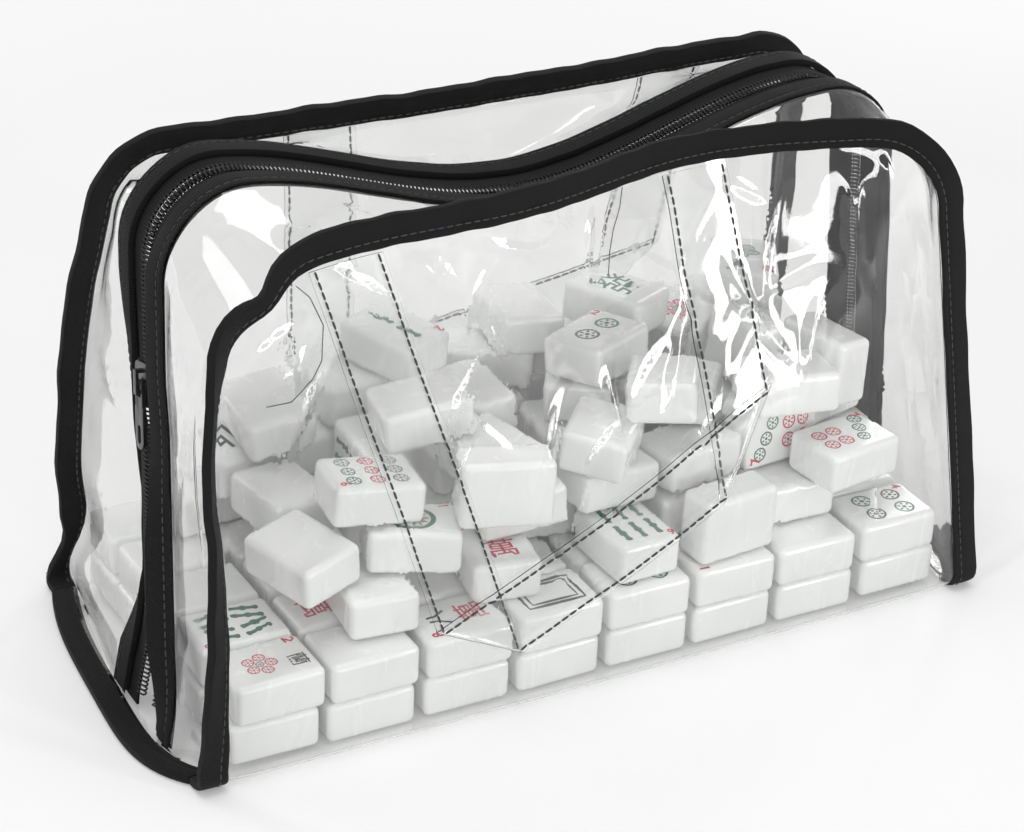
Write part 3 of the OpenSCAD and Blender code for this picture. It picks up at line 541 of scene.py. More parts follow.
    def panel_lines(self, side: Side) -> tuple[list[Point], list[Point], list[Point]]:
        """The left, top and right lines of a panel's seam."""
        r = self.corner_r(side)
        low, high = self.seam_half(self.fold_r), self.seam_half(self.height - r)
        plain = self.left_side(low, high, self.fold_r, self.height, r)
        left = [self.bowed(side, self.dented(side, p)) for p in plain]
        right = [vec(-p[0], p[1]) for p in plain]
        top = [self.bowed(side, self.dented(side, p)) for p in self.top_side(high, self.height, r)]
        return left, top, right

    def fold_point(self, side: Side, x: float, t: float, z_end: float) -> Point:
        """A point of the fold from a panel, at t = 0, to the bottom, at t = 1."""
        y0 = self.panel_y(side, x, self.fold_r)
        y1 = y0 + self.panel_lean * self.fold_r / self.height
        start, corner = vec(x, side * y0, self.fold_r), vec(x, side * y1, z_end)
        end = vec(x, side * (y0 - self.fold_r), z_end)
        return mix(mix(start, corner, t), mix(corner, end, t), t)

    def seam_frames(self, side: Side) -> np.ndarray:
        """Places along a panel's seam.

        Args:
            side: The panel.

        Returns:
            For each place its point, its outward direction in the seam's plane,
            whose length is the share of the full seam width, and the normal.
        """
        left, top, right = self.panel_lines(side)
        x0, n = left[0][0], self.fold_steps
        points = [self.fold_point(side, x0, k / n, self.edge_z) for k in range(n, 0, -1)]
        points += [self.on_panel(side, p) for p in left]
        points += [self.on_panel(side, p) for p in top[1:-1]]
        points += [self.on_panel(side, p) for p in reversed(right)]
        points += [self.fold_point(side, -x0, k / n, self.edge_z) for k in range(1, n + 1)]
        frames = []
        for k, p in enumerate(points):
            ahead, behind = points[min(k + 1, self.last)], points[max(k - 1, 0)]
            along = unit(ahead - behind)
            if k in (0, self.last):
                along = vec(0, side if k == 0 else -side, 0)
            if k < n or k > self.last - n:
                outward = vec(-1 if k < n else 1, 0, 0)
                normal = unit(-side * np.cross(along, outward))
            else:
                normal = self.panel_normal(side, vec(p[0], p[2]))
                outward = unit(-side * np.cross(normal, along))
            c, s = math.cos(self.flange_bend(side, p)), math.sin(self.flange_bend(side, p))
            outward, normal = outward * c + normal * s, normal * c - outward * s
            frames.append([p, outward * self.seam_share(side, p), normal])
        return np.array(frames)

    @property
    def zip_top(self) -> float:
        """The height of the zip's corners."""
        return self.height + self.zip_rise

    @property
    def zip_low(self) -> float:
        """The height at which the zip's straight sides start."""
        return self.fold_r + 6

    def zip_depth(self, p: Point) -> float:
        """The depth position of the zip's line at an outline point."""
        straight = self.zip_top - self.zip_corner_r
        if p[1] <= straight and p[0] < -self.zip_half(0) / 2:
            rise = (p[1] - self.zip_low) / (straight - self.zip_low)
            return self.foot_y + (self.shoulder_y - self.foot_y) * rise
        if p[1] <= straight and p[0] > self.zip_half(0) / 2:
            return 6.0
        half = self.zip_half(self.zip_top)
        across = smooth((p[0] + half) / (2 * half))
        return self.shoulder_y + (6.0 - self.shoulder_y) * across - 4 * bell(p[0] / half)

    def zip_frames(self) -> np.ndarray:
        """Places along the zip.

        Returns:
            For each place its point, the direction to the back, the outward
            direction and the direction along the zip.
        """
        high = self.zip_half(self.zip_top - self.zip_corner_r)
        end_z = self.edge_z + self.film_t / 2 + 0.4
        foot = []
        for k in range(self.fold_steps):
            z = end_z + (self.zip_low - end_z) * k / self.fold_steps
            foot.append(vec(-self.zip_half(z), z))
        side = foot + self.left_side(
            self.zip_half(self.zip_low), high, self.zip_low, self.zip_top, self.zip_corner_r
        )
        top = self.top_side(high, self.zip_top, self.zip_corner_r)
        flat = side + top[1:-1] + [vec(-p[0], p[1]) for p in reversed(side)]
        points = []
        for p in flat:
            sag = self.zip_sag * bell((p[0] + 5) / (self.zip_half(self.zip_top) - 20))
            flare = self.foot_flare * self.left_bulge * hump(p[1], 16) if p[0] < 0 else 0
            height = p[1] - (sag if abs(p[0]) < high - 1 else 0)
            points.append(vec(p[0] - flare, self.zip_depth(p), height))
        frames = []
        for k, p in enumerate(points):
            along = unit(points[min(k + 1, self.last)] - points[max(k - 1, 0)])
            frames.append([p, vec(0, 1, 0), unit(np.cross(along, vec(0, 1, 0))), along])
        return np.array(frames)

    def parting(self, p: Point) -> float:
        """How far a row of the zip stands aside at a point of its line."""
        if p[0] > 0:
            return 0.0
        share = (self.slider_height + self.slider_l / 2 + 0.5 - p[2]) / (self.slider_l + 1)
        foot = (self.zip_low + 22 - p[2]) / 22
        return self.row_parting * min(max(share, 0), 1) + 3 * min(max(foot, 0), 1)

    def zip_turn(self, side: Side, p: Point) -> float:
        """How far the binding beside the left of the zip is turned, in radians."""
        if p[0] > -100:
            return 0.0
        return math.radians(np.interp(p[2], *ZIP_TURNS[side]))

    def beside_zip(self, side: Side, f: np.ndarray, u: float, n: float) -> Point:
        """A point u beside the zip's middle and n proud of its tape.

        On the left the front binding stands up on its film edge, and the back
        one sinks in with the edge of its tape.
        """
        if side is Side.FRONT:
            at, level = self.fold_edge + self.zip_fold_w + 0.5, self.film_n
            turns = u < at and n > 0.5
        else:
            at, level = 7.0, 0.0
            turns = u > at
        if turns:
            turn = self.zip_turn(side, f[0])
            c, s = math.cos(turn), math.sin(turn)
            u, n = at + (u - at) * c + (n - level) * s, level - (u - at) * s + (n - level) * c
        return f[0] + f[1] * side * (u + self.parting(f[0])) + f[2] * n

    def bottom_end(self, side: Side) -> float:
        """The depth position where the bottom's side seam ends."""
        return float(self.fold_point(side, self.seam_half(self.fold_r), 1, self.edge_z)[1])

    def bottom_half(self, hand: int, y: float) -> float:
        """How far the bottom reaches to one hand at a depth position."""
        y0, y1 = self.bottom_end(Side.FRONT), self.bottom_end(Side.BACK)
        t = 2 * (y - y0) / (y1 - y0) - 1
        bulge = self.left_bulge * (0.75 - 0.35 * t) if hand < 0 else self.right_bulge
        return self.seam_half(self.fold_r) + bulge * max(0.0, 1 - t**4)

    def bottom_z(self, u: float) -> float:
        """The height of the bottom film across its width, u from 0 to 1."""
        return self.floor_z + (self.edge_z - self.floor_z) * smooth((abs(2 * u - 1) - 0.9) / 0.1)


@dataclass
class Creases:
    """Sharp folds and soft swells in a film, over a flat area in millimetres."""

    seed: int
    area: tuple[float, float, float, float]
    count: int
    height: float = 0.8
    swell: float = 0.5
    placed: tuple[tuple[float, float, float, float, float, float], ...] = ()
    inward: float = 0.45
    outward: float = 2.4
    folds: list[tuple[float, float, float, float, float, float]] = field(init=False)
    waves: list[tuple[float, float, float, float]] = field(init=False)

    def __post_init__(self) -> None:
        """Draws the folds and swells from the seed."""
        rng = random.Random(self.seed)
        u0, u1, v0, v1 = self.area
        self.folds = list(self.placed)
        for _ in range(self.count):
            lean = rng.choice((35, 60, 80, 100, 125, 150))
            self.folds.append((
                rng.uniform(u0, u1),
                rng.uniform(v0, v1),
                lean + rng.uniform(-14, 14),
                rng.uniform(10, 42),
                rng.uniform(1.4, 4.5),
                self.height * rng.uniform(0.35, 1.0) * rng.choice((1, 1, -0.5)),
            ))
        self.waves = [
            (rng.uniform(0, 360), rng.uniform(26, 90), rng.uniform(0, 6.28), rng.uniform(0.4, 1.0))
            for _ in range(9)
        ]

    def depth(self, u: np.ndarray, v: np.ndarray) -> np.ndarray:
        """How far the film stands proud.

        Args:
            u: Places across the area.
            v: Places up the area.

        Returns:
            The distance along the surface's normal, in millimetres.
        """
        total = np.zeros_like(u)
        for angle, length, phase, share in self.waves:
            c, s = math.cos(math.radians(angle)), math.sin(math.radians(angle))
            total += self.swell * share * np.cos((u * c + v * s) * 2 * math.pi / length + phase) / 3
        for at_u, at_v, angle, half, width, height in self.folds:
            c, s = math.cos(math.radians(angle)), math.sin(math.radians(angle))
            along = ((u - at_u) * c + (v - at_v) * s) / half
            bend = 0.12 * half * along * along
            aside = (-(u - at_u) * s + (v - at_v) * c + bend) / (width * (1 + 0.6 * along))
            fade = np.clip(1 - along * along, 0, 1) ** 2
            ridge = np.clip(1 - np.abs(aside), 0, 1) ** 1.6
            total += np.where(np.abs(along) < 1, height * fade * ridge, 0)
        return np.clip(total, -self.inward, self.outward)


# ---- node tools


class Shader:
    """A short way to place and link nodes in a node tree."""

    def __init__(self, tree: Tree) -> None:
        """Keeps the tree."""
        self.tree = tree

    def node(self, kind: str, inputs: Optional[dict] = None, **settings: object) -> Node:
        """Adds a node.

        Args:
            kind: The node's type.
            inputs: Values or sockets for its inputs, by name or number.
            settings: The node's own settings.

        Returns:
            The node.
        """
        made = self.tree.nodes.new(kind)
        for key, value in settings.items():
            setattr(made, key, value)
        for key, value in (inputs or {}).items():
            if isinstance(value, Socket):
                self.tree.links.new(value, made.inputs[key])
            else:
                made.inputs[key].default_value = value
        return made

    def math(self, operation: str, a: object, b: object = 0.0) -> Socket:
        """A math node's result."""
        return self.node("ShaderNodeMath", {0: a, 1: b}, operation=operation).outputs[0]

    def blend(self, share: object, a: object, b: object) -> Socket:
        """A colour between two colours."""
        return self.node("ShaderNodeMix", {0: share, 6: a, 7: b}, data_type="RGBA").outputs[2]

    def span(self, value: object, low: float, high: float, to_low: float, to_high: float) -> Socket:
        """A value carried from one range to another."""
        ends = {"From Min": low, "From Max": high, "To Min": to_low, "To Max": to_high}
        return self.node("ShaderNodeMapRange", {"Value": value, **ends}).outputs[0]

    def noise(self, place: object, scale: object, detail: float) -> Socket:
        """A cloudy value at a place."""
        given = {"Vector": place, "Scale": scale, "Detail": detail}
        return self.node("ShaderNodeTexNoise", given).outputs["Fac"]

    def bump(self, height: object, strength: float, distance: float) -> Socket:
        """A normal that follows a height."""
        relief = {"Strength": strength, "Distance": distance, "Height": height}
        return self.node("ShaderNodeBump", relief).outputs[0]

    def effect(self, group: Tree, place: object, **values: float) -> Sockets:
        """The outputs of a shared effect at a place."""
        return self.node("ShaderNodeGroup", {"Vector": place, **values}, node_tree=group).outputs

    def principled(self, inputs: dict[str, object]) -> Socket:
        """A principled shader's result."""
        return self.node("ShaderNodeBsdfPrincipled", inputs).outputs[0]

    @property
    def object_place(self) -> Socket:
        """The surface's place in the object."""
        return self.node("ShaderNodeTexCoord").outputs["Object"]

    @property
    def surface_place(self) -> Socket:
        """The place on the piece's own surface."""
        return self.node("ShaderNodeUVMap", uv_map="surface").outputs["UV"]


def new_group(
    name: str, inputs: dict[str, float], outputs: Sequence[str]
) -> tuple[Shader, Sockets, Sockets]:
    """An empty shader group with a vector input.

    Args:
        name: The group's name.
        inputs: Its number inputs and their first values.
        outputs: Its number outputs.

    Returns:
        The group's node tools, the sockets given to it and those it puts out.
    """
    tree = bpy.data.node_groups.new(name, "ShaderNodeTree")
    tree.interface.new_socket("Vector", in_out="INPUT", socket_type="NodeSocketVector")
    for key, value in inputs.items():
        tree.interface.new_socket(key, in_out="INPUT", socket_type="NodeSocketFloat").default_value = value
    for key in outputs:
        tree.interface.new_socket(key, in_out="OUTPUT", socket_type="NodeSocketFloat")
    s = Shader(tree)
    return s, s.node("NodeGroupInput").outputs, s.node("NodeGroupOutput").inputs


@dataclass(frozen=True)
class SharedEffects:
    """The effects that several finishes use."""

    mottle: Tree
    ribs: Tree
    smears: Tree

    @staticmethod
    def build() -> "SharedEffects":
        """Builds the three shader groups."""
        return SharedEffects(SharedEffects._mottle(), SharedEffects._ribs(), SharedEffects._smears())

    @staticmethod
    def _mottle() -> Tree:
        """Cloudy variation at two scales."""
        s, given, out = new_group("mottle", {"Coarse": 60.0, "Fine": 900.0}, ("Cloud", "Grain"))
        s.tree.links.new(s.noise(given["Vector"], given["Coarse"], 3.0), out["Cloud"])
        s.tree.links.new(s.noise(given["Vector"], given["Fine"], 2.0), out["Grain"])
        return s.tree

    @staticmethod
    def _ribs() -> Tree:
        """Woven ribs across a tape and the fine crossing threads, both per metre."""
        s, given, out = new_group("woven_ribs", {"Ribs": 1200.0, "Threads": 2200.0}, ("Height", "Shade"))
        place = s.node("ShaderNodeSeparateXYZ", {0: given["Vector"]})
        shift = s.math("MULTIPLY", s.noise(given["Vector"], 350.0, 1.0), 1.4)
        rib = s.math("MULTIPLY", place.outputs["Y"], given["Ribs"])
        rib = s.math("SINE", s.math("ADD", s.math("MULTIPLY", rib, 2 * math.pi), shift))
        cross = s.math("MULTIPLY", place.outputs["X"], given["Threads"])
        cross = s.math("SINE", s.math("MULTIPLY", cross, 2 * math.pi))
        height = s.math("ADD", s.math("MULTIPLY", rib, 0.5), s.math("MULTIPLY", cross, 0.22))
        s.tree.links.new(height, out["Height"])
        # The Shade output is the rib height as a brightness, which the tape uses as painted shade in the
        # troughs and painted highlight on the crests.
        s.tree.links.new(s.span(height, -0.7, 0.7, 0.0, 1.0), out["Shade"])
        return s.tree

    @staticmethod
    def _smears() -> Tree:
        """Thin wiped streaks, as on handled plastic."""
        s, given, out = new_group("smears", {"Streaks": 45.0}, ("Mask",))
        drawn = s.node("ShaderNodeMapping", {"Vector": given["Vector"], "Scale": (1.0, 1.0, 0.22)})
        streak = s.node(
            "ShaderNodeTexNoise",
            {"Vector": drawn.outputs[0], "Scale": given["Streaks"], "Detail": 4.0, "Distortion": 1.2},
        )
        s.tree.links.new(s.span(streak.outputs["Fac"], 0.5, 0.72, 0.0, 1.0), out["Mask"])
        return s.tree


# ---- finishes


@dataclass(frozen=True)
class Finish:
    """A named finish, whose kinds say how their surface is made."""

    name: str

    def surface(self, s: Shader, shared: Optional[SharedEffects]) -> Socket:
        """The shader of the finish, from the shared effects."""
        raise NotImplementedError

    def build(self, shared: Optional[SharedEffects] = None) -> Material:
        """Builds the material.

        Args:
            shared: The shared effects, if the finish uses any.

        Returns:
            The material.
        """
        material = bpy.data.materials.new(self.name)
        material.use_nodes = True
        material.node_tree.nodes.clear()
        s = Shader(material.node_tree)
        s.node("ShaderNodeOutputMaterial", {"Surface": self.surface(s, shared)})
        return material


@dataclass(frozen=True)
class ClearFilm(Finish):
    """Clear pressed film with a soft haze and fine ripples."""

    tint: Colour = (0.935, 0.938, 0.932, 1.0)
    shadow: Colour = (0.955, 0.957, 0.955, 1.0)
    ripple: float = 0.12

    def surface(self, s: Shader, shared: SharedEffects) -> Socket:
        """Glass to the eye, and a plain filter to the light that passes."""
        place = s.object_place
        smear = s.effect(shared.smears, place)
        cloud = s.effect(shared.mottle, place, Coarse=55.0, Fine=210.0)
        folded = s.node("ShaderNodeTexVoronoi", {"Vector": place, "Scale": 58.0}, feature="SMOOTH_F1")
        height = s.math("ADD", cloud["Cloud"], s.math("MULTIPLY", folded.outputs["Distance"], 0.5))
        height = s.math("ADD", height, s.math("MULTIPLY", cloud["Grain"], 0.06))
        glass = s.principled({
            "Base Color": self.tint,
            "Roughness": s.span(smear["Mask"], 0.0, 1.0, 0.02, 0.09),
            "IOR": 1.49,
            "Transmission Weight": 1.0,
            "Normal": s.bump(height, self.ripple, 0.0004),
        })
        plain = s.node("ShaderNodeBsdfTransparent", {"Color": self.shadow})
        light = s.node("ShaderNodeLightPath").outputs
        share = s.math("MAXIMUM", light["Is Shadow Ray"], light["Is Diffuse Ray"])
        return s.node("ShaderNodeMixShader", {0: share, 1: glass, 2: plain.outputs[0]}).outputs[0]


@dataclass(frozen=True)
class WovenTape(Finish):
    """Black woven tape: ribs across its length, a soft sheen, and painted shade and highlight along the
    ribs.
    """

    dark: Colour = (0.003, 0.003, 0.0035, 1.0)
    light: Colour = (0.017, 0.017, 0.019, 1.0)
    ribs: float = 1150.0
    threads: float = 2100.0
    relief: float = 0.00016
    roughness: float = 0.78

    def surface(self, s: Shader, shared: SharedEffects) -> Socket:
        """Cloth whose relief follows its ribs, with painted shade in their troughs and painted highlight on
        their crests.
        """
        weave = s.effect(shared.ribs, s.surface_place, Ribs=self.ribs, Threads=self.threads)
        cloud = s.effect(shared.mottle, s.object_place, Coarse=70.0, Fine=1500.0)
        # The rib brightness is painted shade in the troughs and painted highlight on the crests, dimmed at
        # random by a cloudy pattern.
        painted_rib_shade = s.math("MULTIPLY", weave["Shade"], s.span(cloud["Cloud"], 0.3, 0.7, 0.45, 1.0))
        height = s.math("ADD", weave["Height"], s.math("MULTIPLY", cloud["Grain"], 0.5))
        return s.principled({
            "Base Color": s.blend(painted_rib_shade, self.dark, self.light),
            "Roughness": s.span(cloud["Cloud"], 0.3, 0.7, self.roughness - 0.08, self.roughness + 0.1),
            "Sheen Weight": 0.05,
            "Sheen Roughness": 0.4,
            "Specular IOR Level": 0.2,
            "Normal": s.bump(height, 0.8, self.relief),
        })


@dataclass(frozen=True)
class BlackSatin(Finish):
    """Moulded or painted black, smoother where it is rubbed."""

    colour: Colour = (0.014, 0.014, 0.016, 1.0)
    worn: Colour = (0.05, 0.05, 0.055, 1.0)
    roughness: float = 0.3
    coat: float = 0.35

    def surface(self, s: Shader, shared: SharedEffects) -> Socket:
        """Satin black with worn patches."""
        cloud = s.effect(shared.mottle, s.object_place, Coarse=260.0, Fine=2600.0)
        wear = s.span(cloud["Cloud"], 0.55, 0.75, 0.0, 0.6)
        return s.principled({
            "Base Color": s.blend(wear, self.colour, self.worn),
            "Roughness": s.span(cloud["Cloud"], 0.3, 0.7, self.roughness, self.roughness + 0.14),
            "Coat Weight": self.coat,
            "Coat Roughness": 0.12,
            "Normal": s.bump(cloud["Grain"], 0.25, 0.00008),
        })


@dataclass(frozen=True)
class SewingThread(Finish):
    """Spun thread with its twist."""

    colour: Colour = (0.012, 0.012, 0.014, 1.0)
    light: Colour = (0.05, 0.05, 0.055, 1.0)

    def surface(self, s: Shader, shared: SharedEffects) -> Socket:
        """Soft black with the light that its fibres catch."""
        cloud = s.effect(shared.mottle, s.object_place, Coarse=1800.0, Fine=6000.0)
        return s.principled({
            "Base Color": s.blend(cloud["Cloud"], self.colour, self.light),
            "Roughness": 0.62,
            "Sheen Weight": 0.2,
            "Normal": s.bump(cloud["Cloud"], 0.6, 0.00006),
        })


@dataclass(frozen=True)
class PolishedTile(Finish):
    """Polished milk-white tile stock, a little cloudy and lightly scuffed."""

    bright: Colour = (0.92, 0.925, 0.915, 1.0)
    cloudy: Colour = (0.865, 0.873, 0.862, 1.0)

    def surface(self, s: Shader, shared: SharedEffects) -> Socket:
        """Cloudy white under a thin polish."""
        place = s.object_place
        cloud = s.effect(shared.mottle, place, Coarse=48.0, Fine=1300.0)
        smear = s.effect(shared.smears, place, Streaks=120.0)
        return s.principled({
            "Base Color": s.blend(s.span(cloud["Cloud"], 0.35, 0.7, 0.0, 1.0), self.bright, self.cloudy),
            "Roughness": s.span(smear["Mask"], 0.0, 1.0, 0.2, 0.36),
            "Coat Weight": 0.25,
            "Coat Roughness": 0.08,
            "Normal": s.bump(cloud["Grain"], 0.1, 0.0002),
        })


@dataclass(frozen=True)
class TileInk(Finish):
    """Paint filled into a tile's face, a little uneven."""

    colour: Colour = (0.0, 0.0, 0.0, 1.0)

    def surface(self, s: Shader, shared: SharedEffects) -> Socket:
        """The colour, with patches that are thinner."""
        cloud = s.effect(shared.mottle, s.object_place, Coarse=500.0, Fine=2400.0)
        pale = tuple(min(1.0, 0.03 + 1.25 * c) for c in self.colour[:3]) + (1.0,)
        return s.principled({
            "Base Color": s.blend(s.span(cloud["Cloud"], 0.45, 0.7, 0.0, 0.8), self.colour, pale),
            "Roughness": s.span(cloud["Cloud"], 0.3, 0.7, 0.3, 0.45),
            "Normal": s.bump(cloud["Grain"], 0.3, 0.00006),
        })


@dataclass(frozen=True)
class FloorPaper(Finish):
    """Pale paper that keeps a shadow and brightens away from the case."""

    low: Colour = (0.76, 0.76, 0.76, 1.0)
    high: Colour = (0.775, 0.775, 0.775, 1.0)
    near_glow: float = 0.17
    far_glow: float = 0.82

    def surface(self, s: Shader, shared: Optional[SharedEffects]) -> Socket:
        """Paper, with a glow where it is seen, mirrored or seen through."""
        colour = s.blend(s.noise(s.object_place, 6.0, 2.0), self.low, self.high)
        paper = s.node("ShaderNodeBsdfDiffuse", {"Color": colour})
        far = s.node("ShaderNodeVectorMath", {0: s.object_place}, operation="LENGTH")
        level = s.span(far.outputs["Value"], 0.5, 2.6, self.near_glow, self.far_glow)
        glow = s.node("ShaderNodeEmission", {"Color": (1, 1, 1, 1), "Strength": level})
        nothing = s.node("ShaderNodeEmission", {"Color": (0, 0, 0, 1), "Strength": 0.0})
        light = s.node("ShaderNodeLightPath").outputs
        seen = s.math("MAXIMUM", light["Is Camera Ray"], light["Is Glossy Ray"])
        seen = s.math("MAXIMUM", seen, light["Is Transmission Ray"])
        lit = s.node("ShaderNodeMixShader", {0: seen, 1: nothing.outputs[0], 2: glow.outputs[0]})
        return s.node("ShaderNodeAddShader", {0: paper.outputs[0], 1: lit.outputs[0]}).outputs[0]


@dataclass(frozen=True)
class Finishes:
    """Every material of the case, built once."""

    film: Material
    strap: Material
    binding: Material
    zip_tape: Material
    coil: Material
    paint: Material
    thread: Material
    tile: Material
    inks: tuple[Material, ...]

    @staticmethod
    def build() -> "Finishes":
        """Builds the shared effects and all finishes."""
        shared = SharedEffects.build()
        kinds = {
            "film": ClearFilm("clear_film"),
            "strap": ClearFilm("strap_film", tint=(0.95, 0.955, 0.952, 1.0), ripple=0.1),
            "binding": WovenTape("binding_tape"),
            "zip_tape": WovenTape("zip_tape", ribs=900.0, threads=1500.0, relief=0.00012),
            "coil": BlackSatin("zip_coil", (0.006, 0.006, 0.007, 1.0), (0.02, 0.02, 0.022, 1.0), 0.5, 0.0),
            "paint": BlackSatin("slider_paint"),
            "thread": SewingThread("black_thread"),
            "tile": PolishedTile("tile_white"),
        }
        inks = (
            TileInk("ink_red", (0.52, 0.012, 0.05, 1.0)),
            TileInk("ink_green", (0.012, 0.11, 0.06, 1.0)),
            TileInk("ink_black", (0.018, 0.02, 0.022, 1.0)),
        )
        built = {name: kind.build(shared) for name, kind in kinds.items()}
        return Finishes(**built, inks=tuple(ink.build(shared) for ink in inks))


# ---- pools of copies


class CopyPool:
    """Gathers copies of small meshes into one object."""

    def __init__(self) -> None:
        """Starts with nothing."""
        self.points: list[np.ndarray] = []
        self.faces: list[list[int]] = []
        self.slots: list[int] = []
        self.count = 0

    def add(self, shape: "Shape", matrix: np.ndarray, slot: int = 0) -> None:
        """Adds one copy.

        Args:
            shape: The small mesh, in millimetres.
            matrix: Its place, a 4 by 4 matrix in millimetres.
            slot: Its material slot.
        """
        self.points.append(shape.points @ matrix[:3, :3].T + matrix[:3, 3])
        self.faces += [[i + self.count for i in f] for f in shape.faces]
        self.slots += [slot] * len(shape.faces)
        self.count += len(shape.points)

    def build(self, name: str, degrees: float = 40.0) -> Object:
        """Makes one object of all the copies.

        Args:
            name: The object's name.
            degrees: The largest angle that is shaded smooth.

        Returns:
            The object.
        """
        obj = new_object(name, np.concatenate(self.points), self.faces)
        obj.data.polygons.foreach_set("material_index", np.array(self.slots, np.int32))
        shade(obj, degrees)
        return obj


@dataclass
class Shape:
    """A small mesh that is modelled once and copied many times."""

    points: np.ndarray
    faces: list[list[int]]

    @staticmethod
    def of(obj: Object) -> "Shape":
        """Reads a modelled object, in millimetres, and removes it."""
        bpy.context.view_layer.update()
        points = np.array([obj.matrix_world @ v.co for v in obj.data.vertices], float) / MM
        faces = [list(p.vertices) for p in obj.data.polygons]
        mesh = obj.data
        bpy.data.objects.remove(obj)
        bpy.data.meshes.remove(mesh)
        return Shape(points, faces)


def placing(at: Point, x: Point, y: Point, z: Point) -> np.ndarray:
    """A placing matrix from a point and three directions."""
    m = np.eye(4)
    m[:3, 0], m[:3, 1], m[:3, 2], m[:3, 3] = x, y, z, at
    return m


def stitch_place(at: Point, along: Point, up: Point) -> np.ndarray:
    """The placing of a stitch that runs along a line on a surface."""
    aside = unit(np.cross(along, up))
    return placing(at, aside, along, unit(np.cross(aside, along)))


def stitch_shape(length: float, thick: float) -> Shape:
    """One visible stitch: a short bead with drawn-in ends, along Y.

    Args:
        length: Its length in millimetres.
        thick: Its thickness in millimetres.

    Returns:
        The shape.
    """
    deselect()
    bpy.ops.mesh.primitive_cylinder_add(
        vertices=6, radius=thick / 2 * MM, depth=0.6 * length * MM, rotation=(math.pi / 2, 0, 0)
    )
    obj = bpy.context.object
    bpy.ops.object.transform_apply(rotation=True)
    bpy.ops.object.mode_set(mode="EDIT")
    for direction in (-1, 1):
        bpy.ops.mesh.select_all(action="DESELECT")
        bpy.ops.object.mode_set(mode="OBJECT")
        for p in obj.data.polygons:
            p.select = p.normal.y * direction > 0.9
        bpy.ops.object.mode_set(mode="EDIT")
        bpy.ops.mesh.extrude_region_move(
            TRANSFORM_OT_translate={"value": (0, direction * 0.2 * length * MM, -0.15 * thick * MM)}
        )
        bpy.ops.transform.resize(value=(0.45, 1, 0.45))
    bpy.ops.object.mode_set(mode="OBJECT")
    return Shape.of(obj)


# ---- film


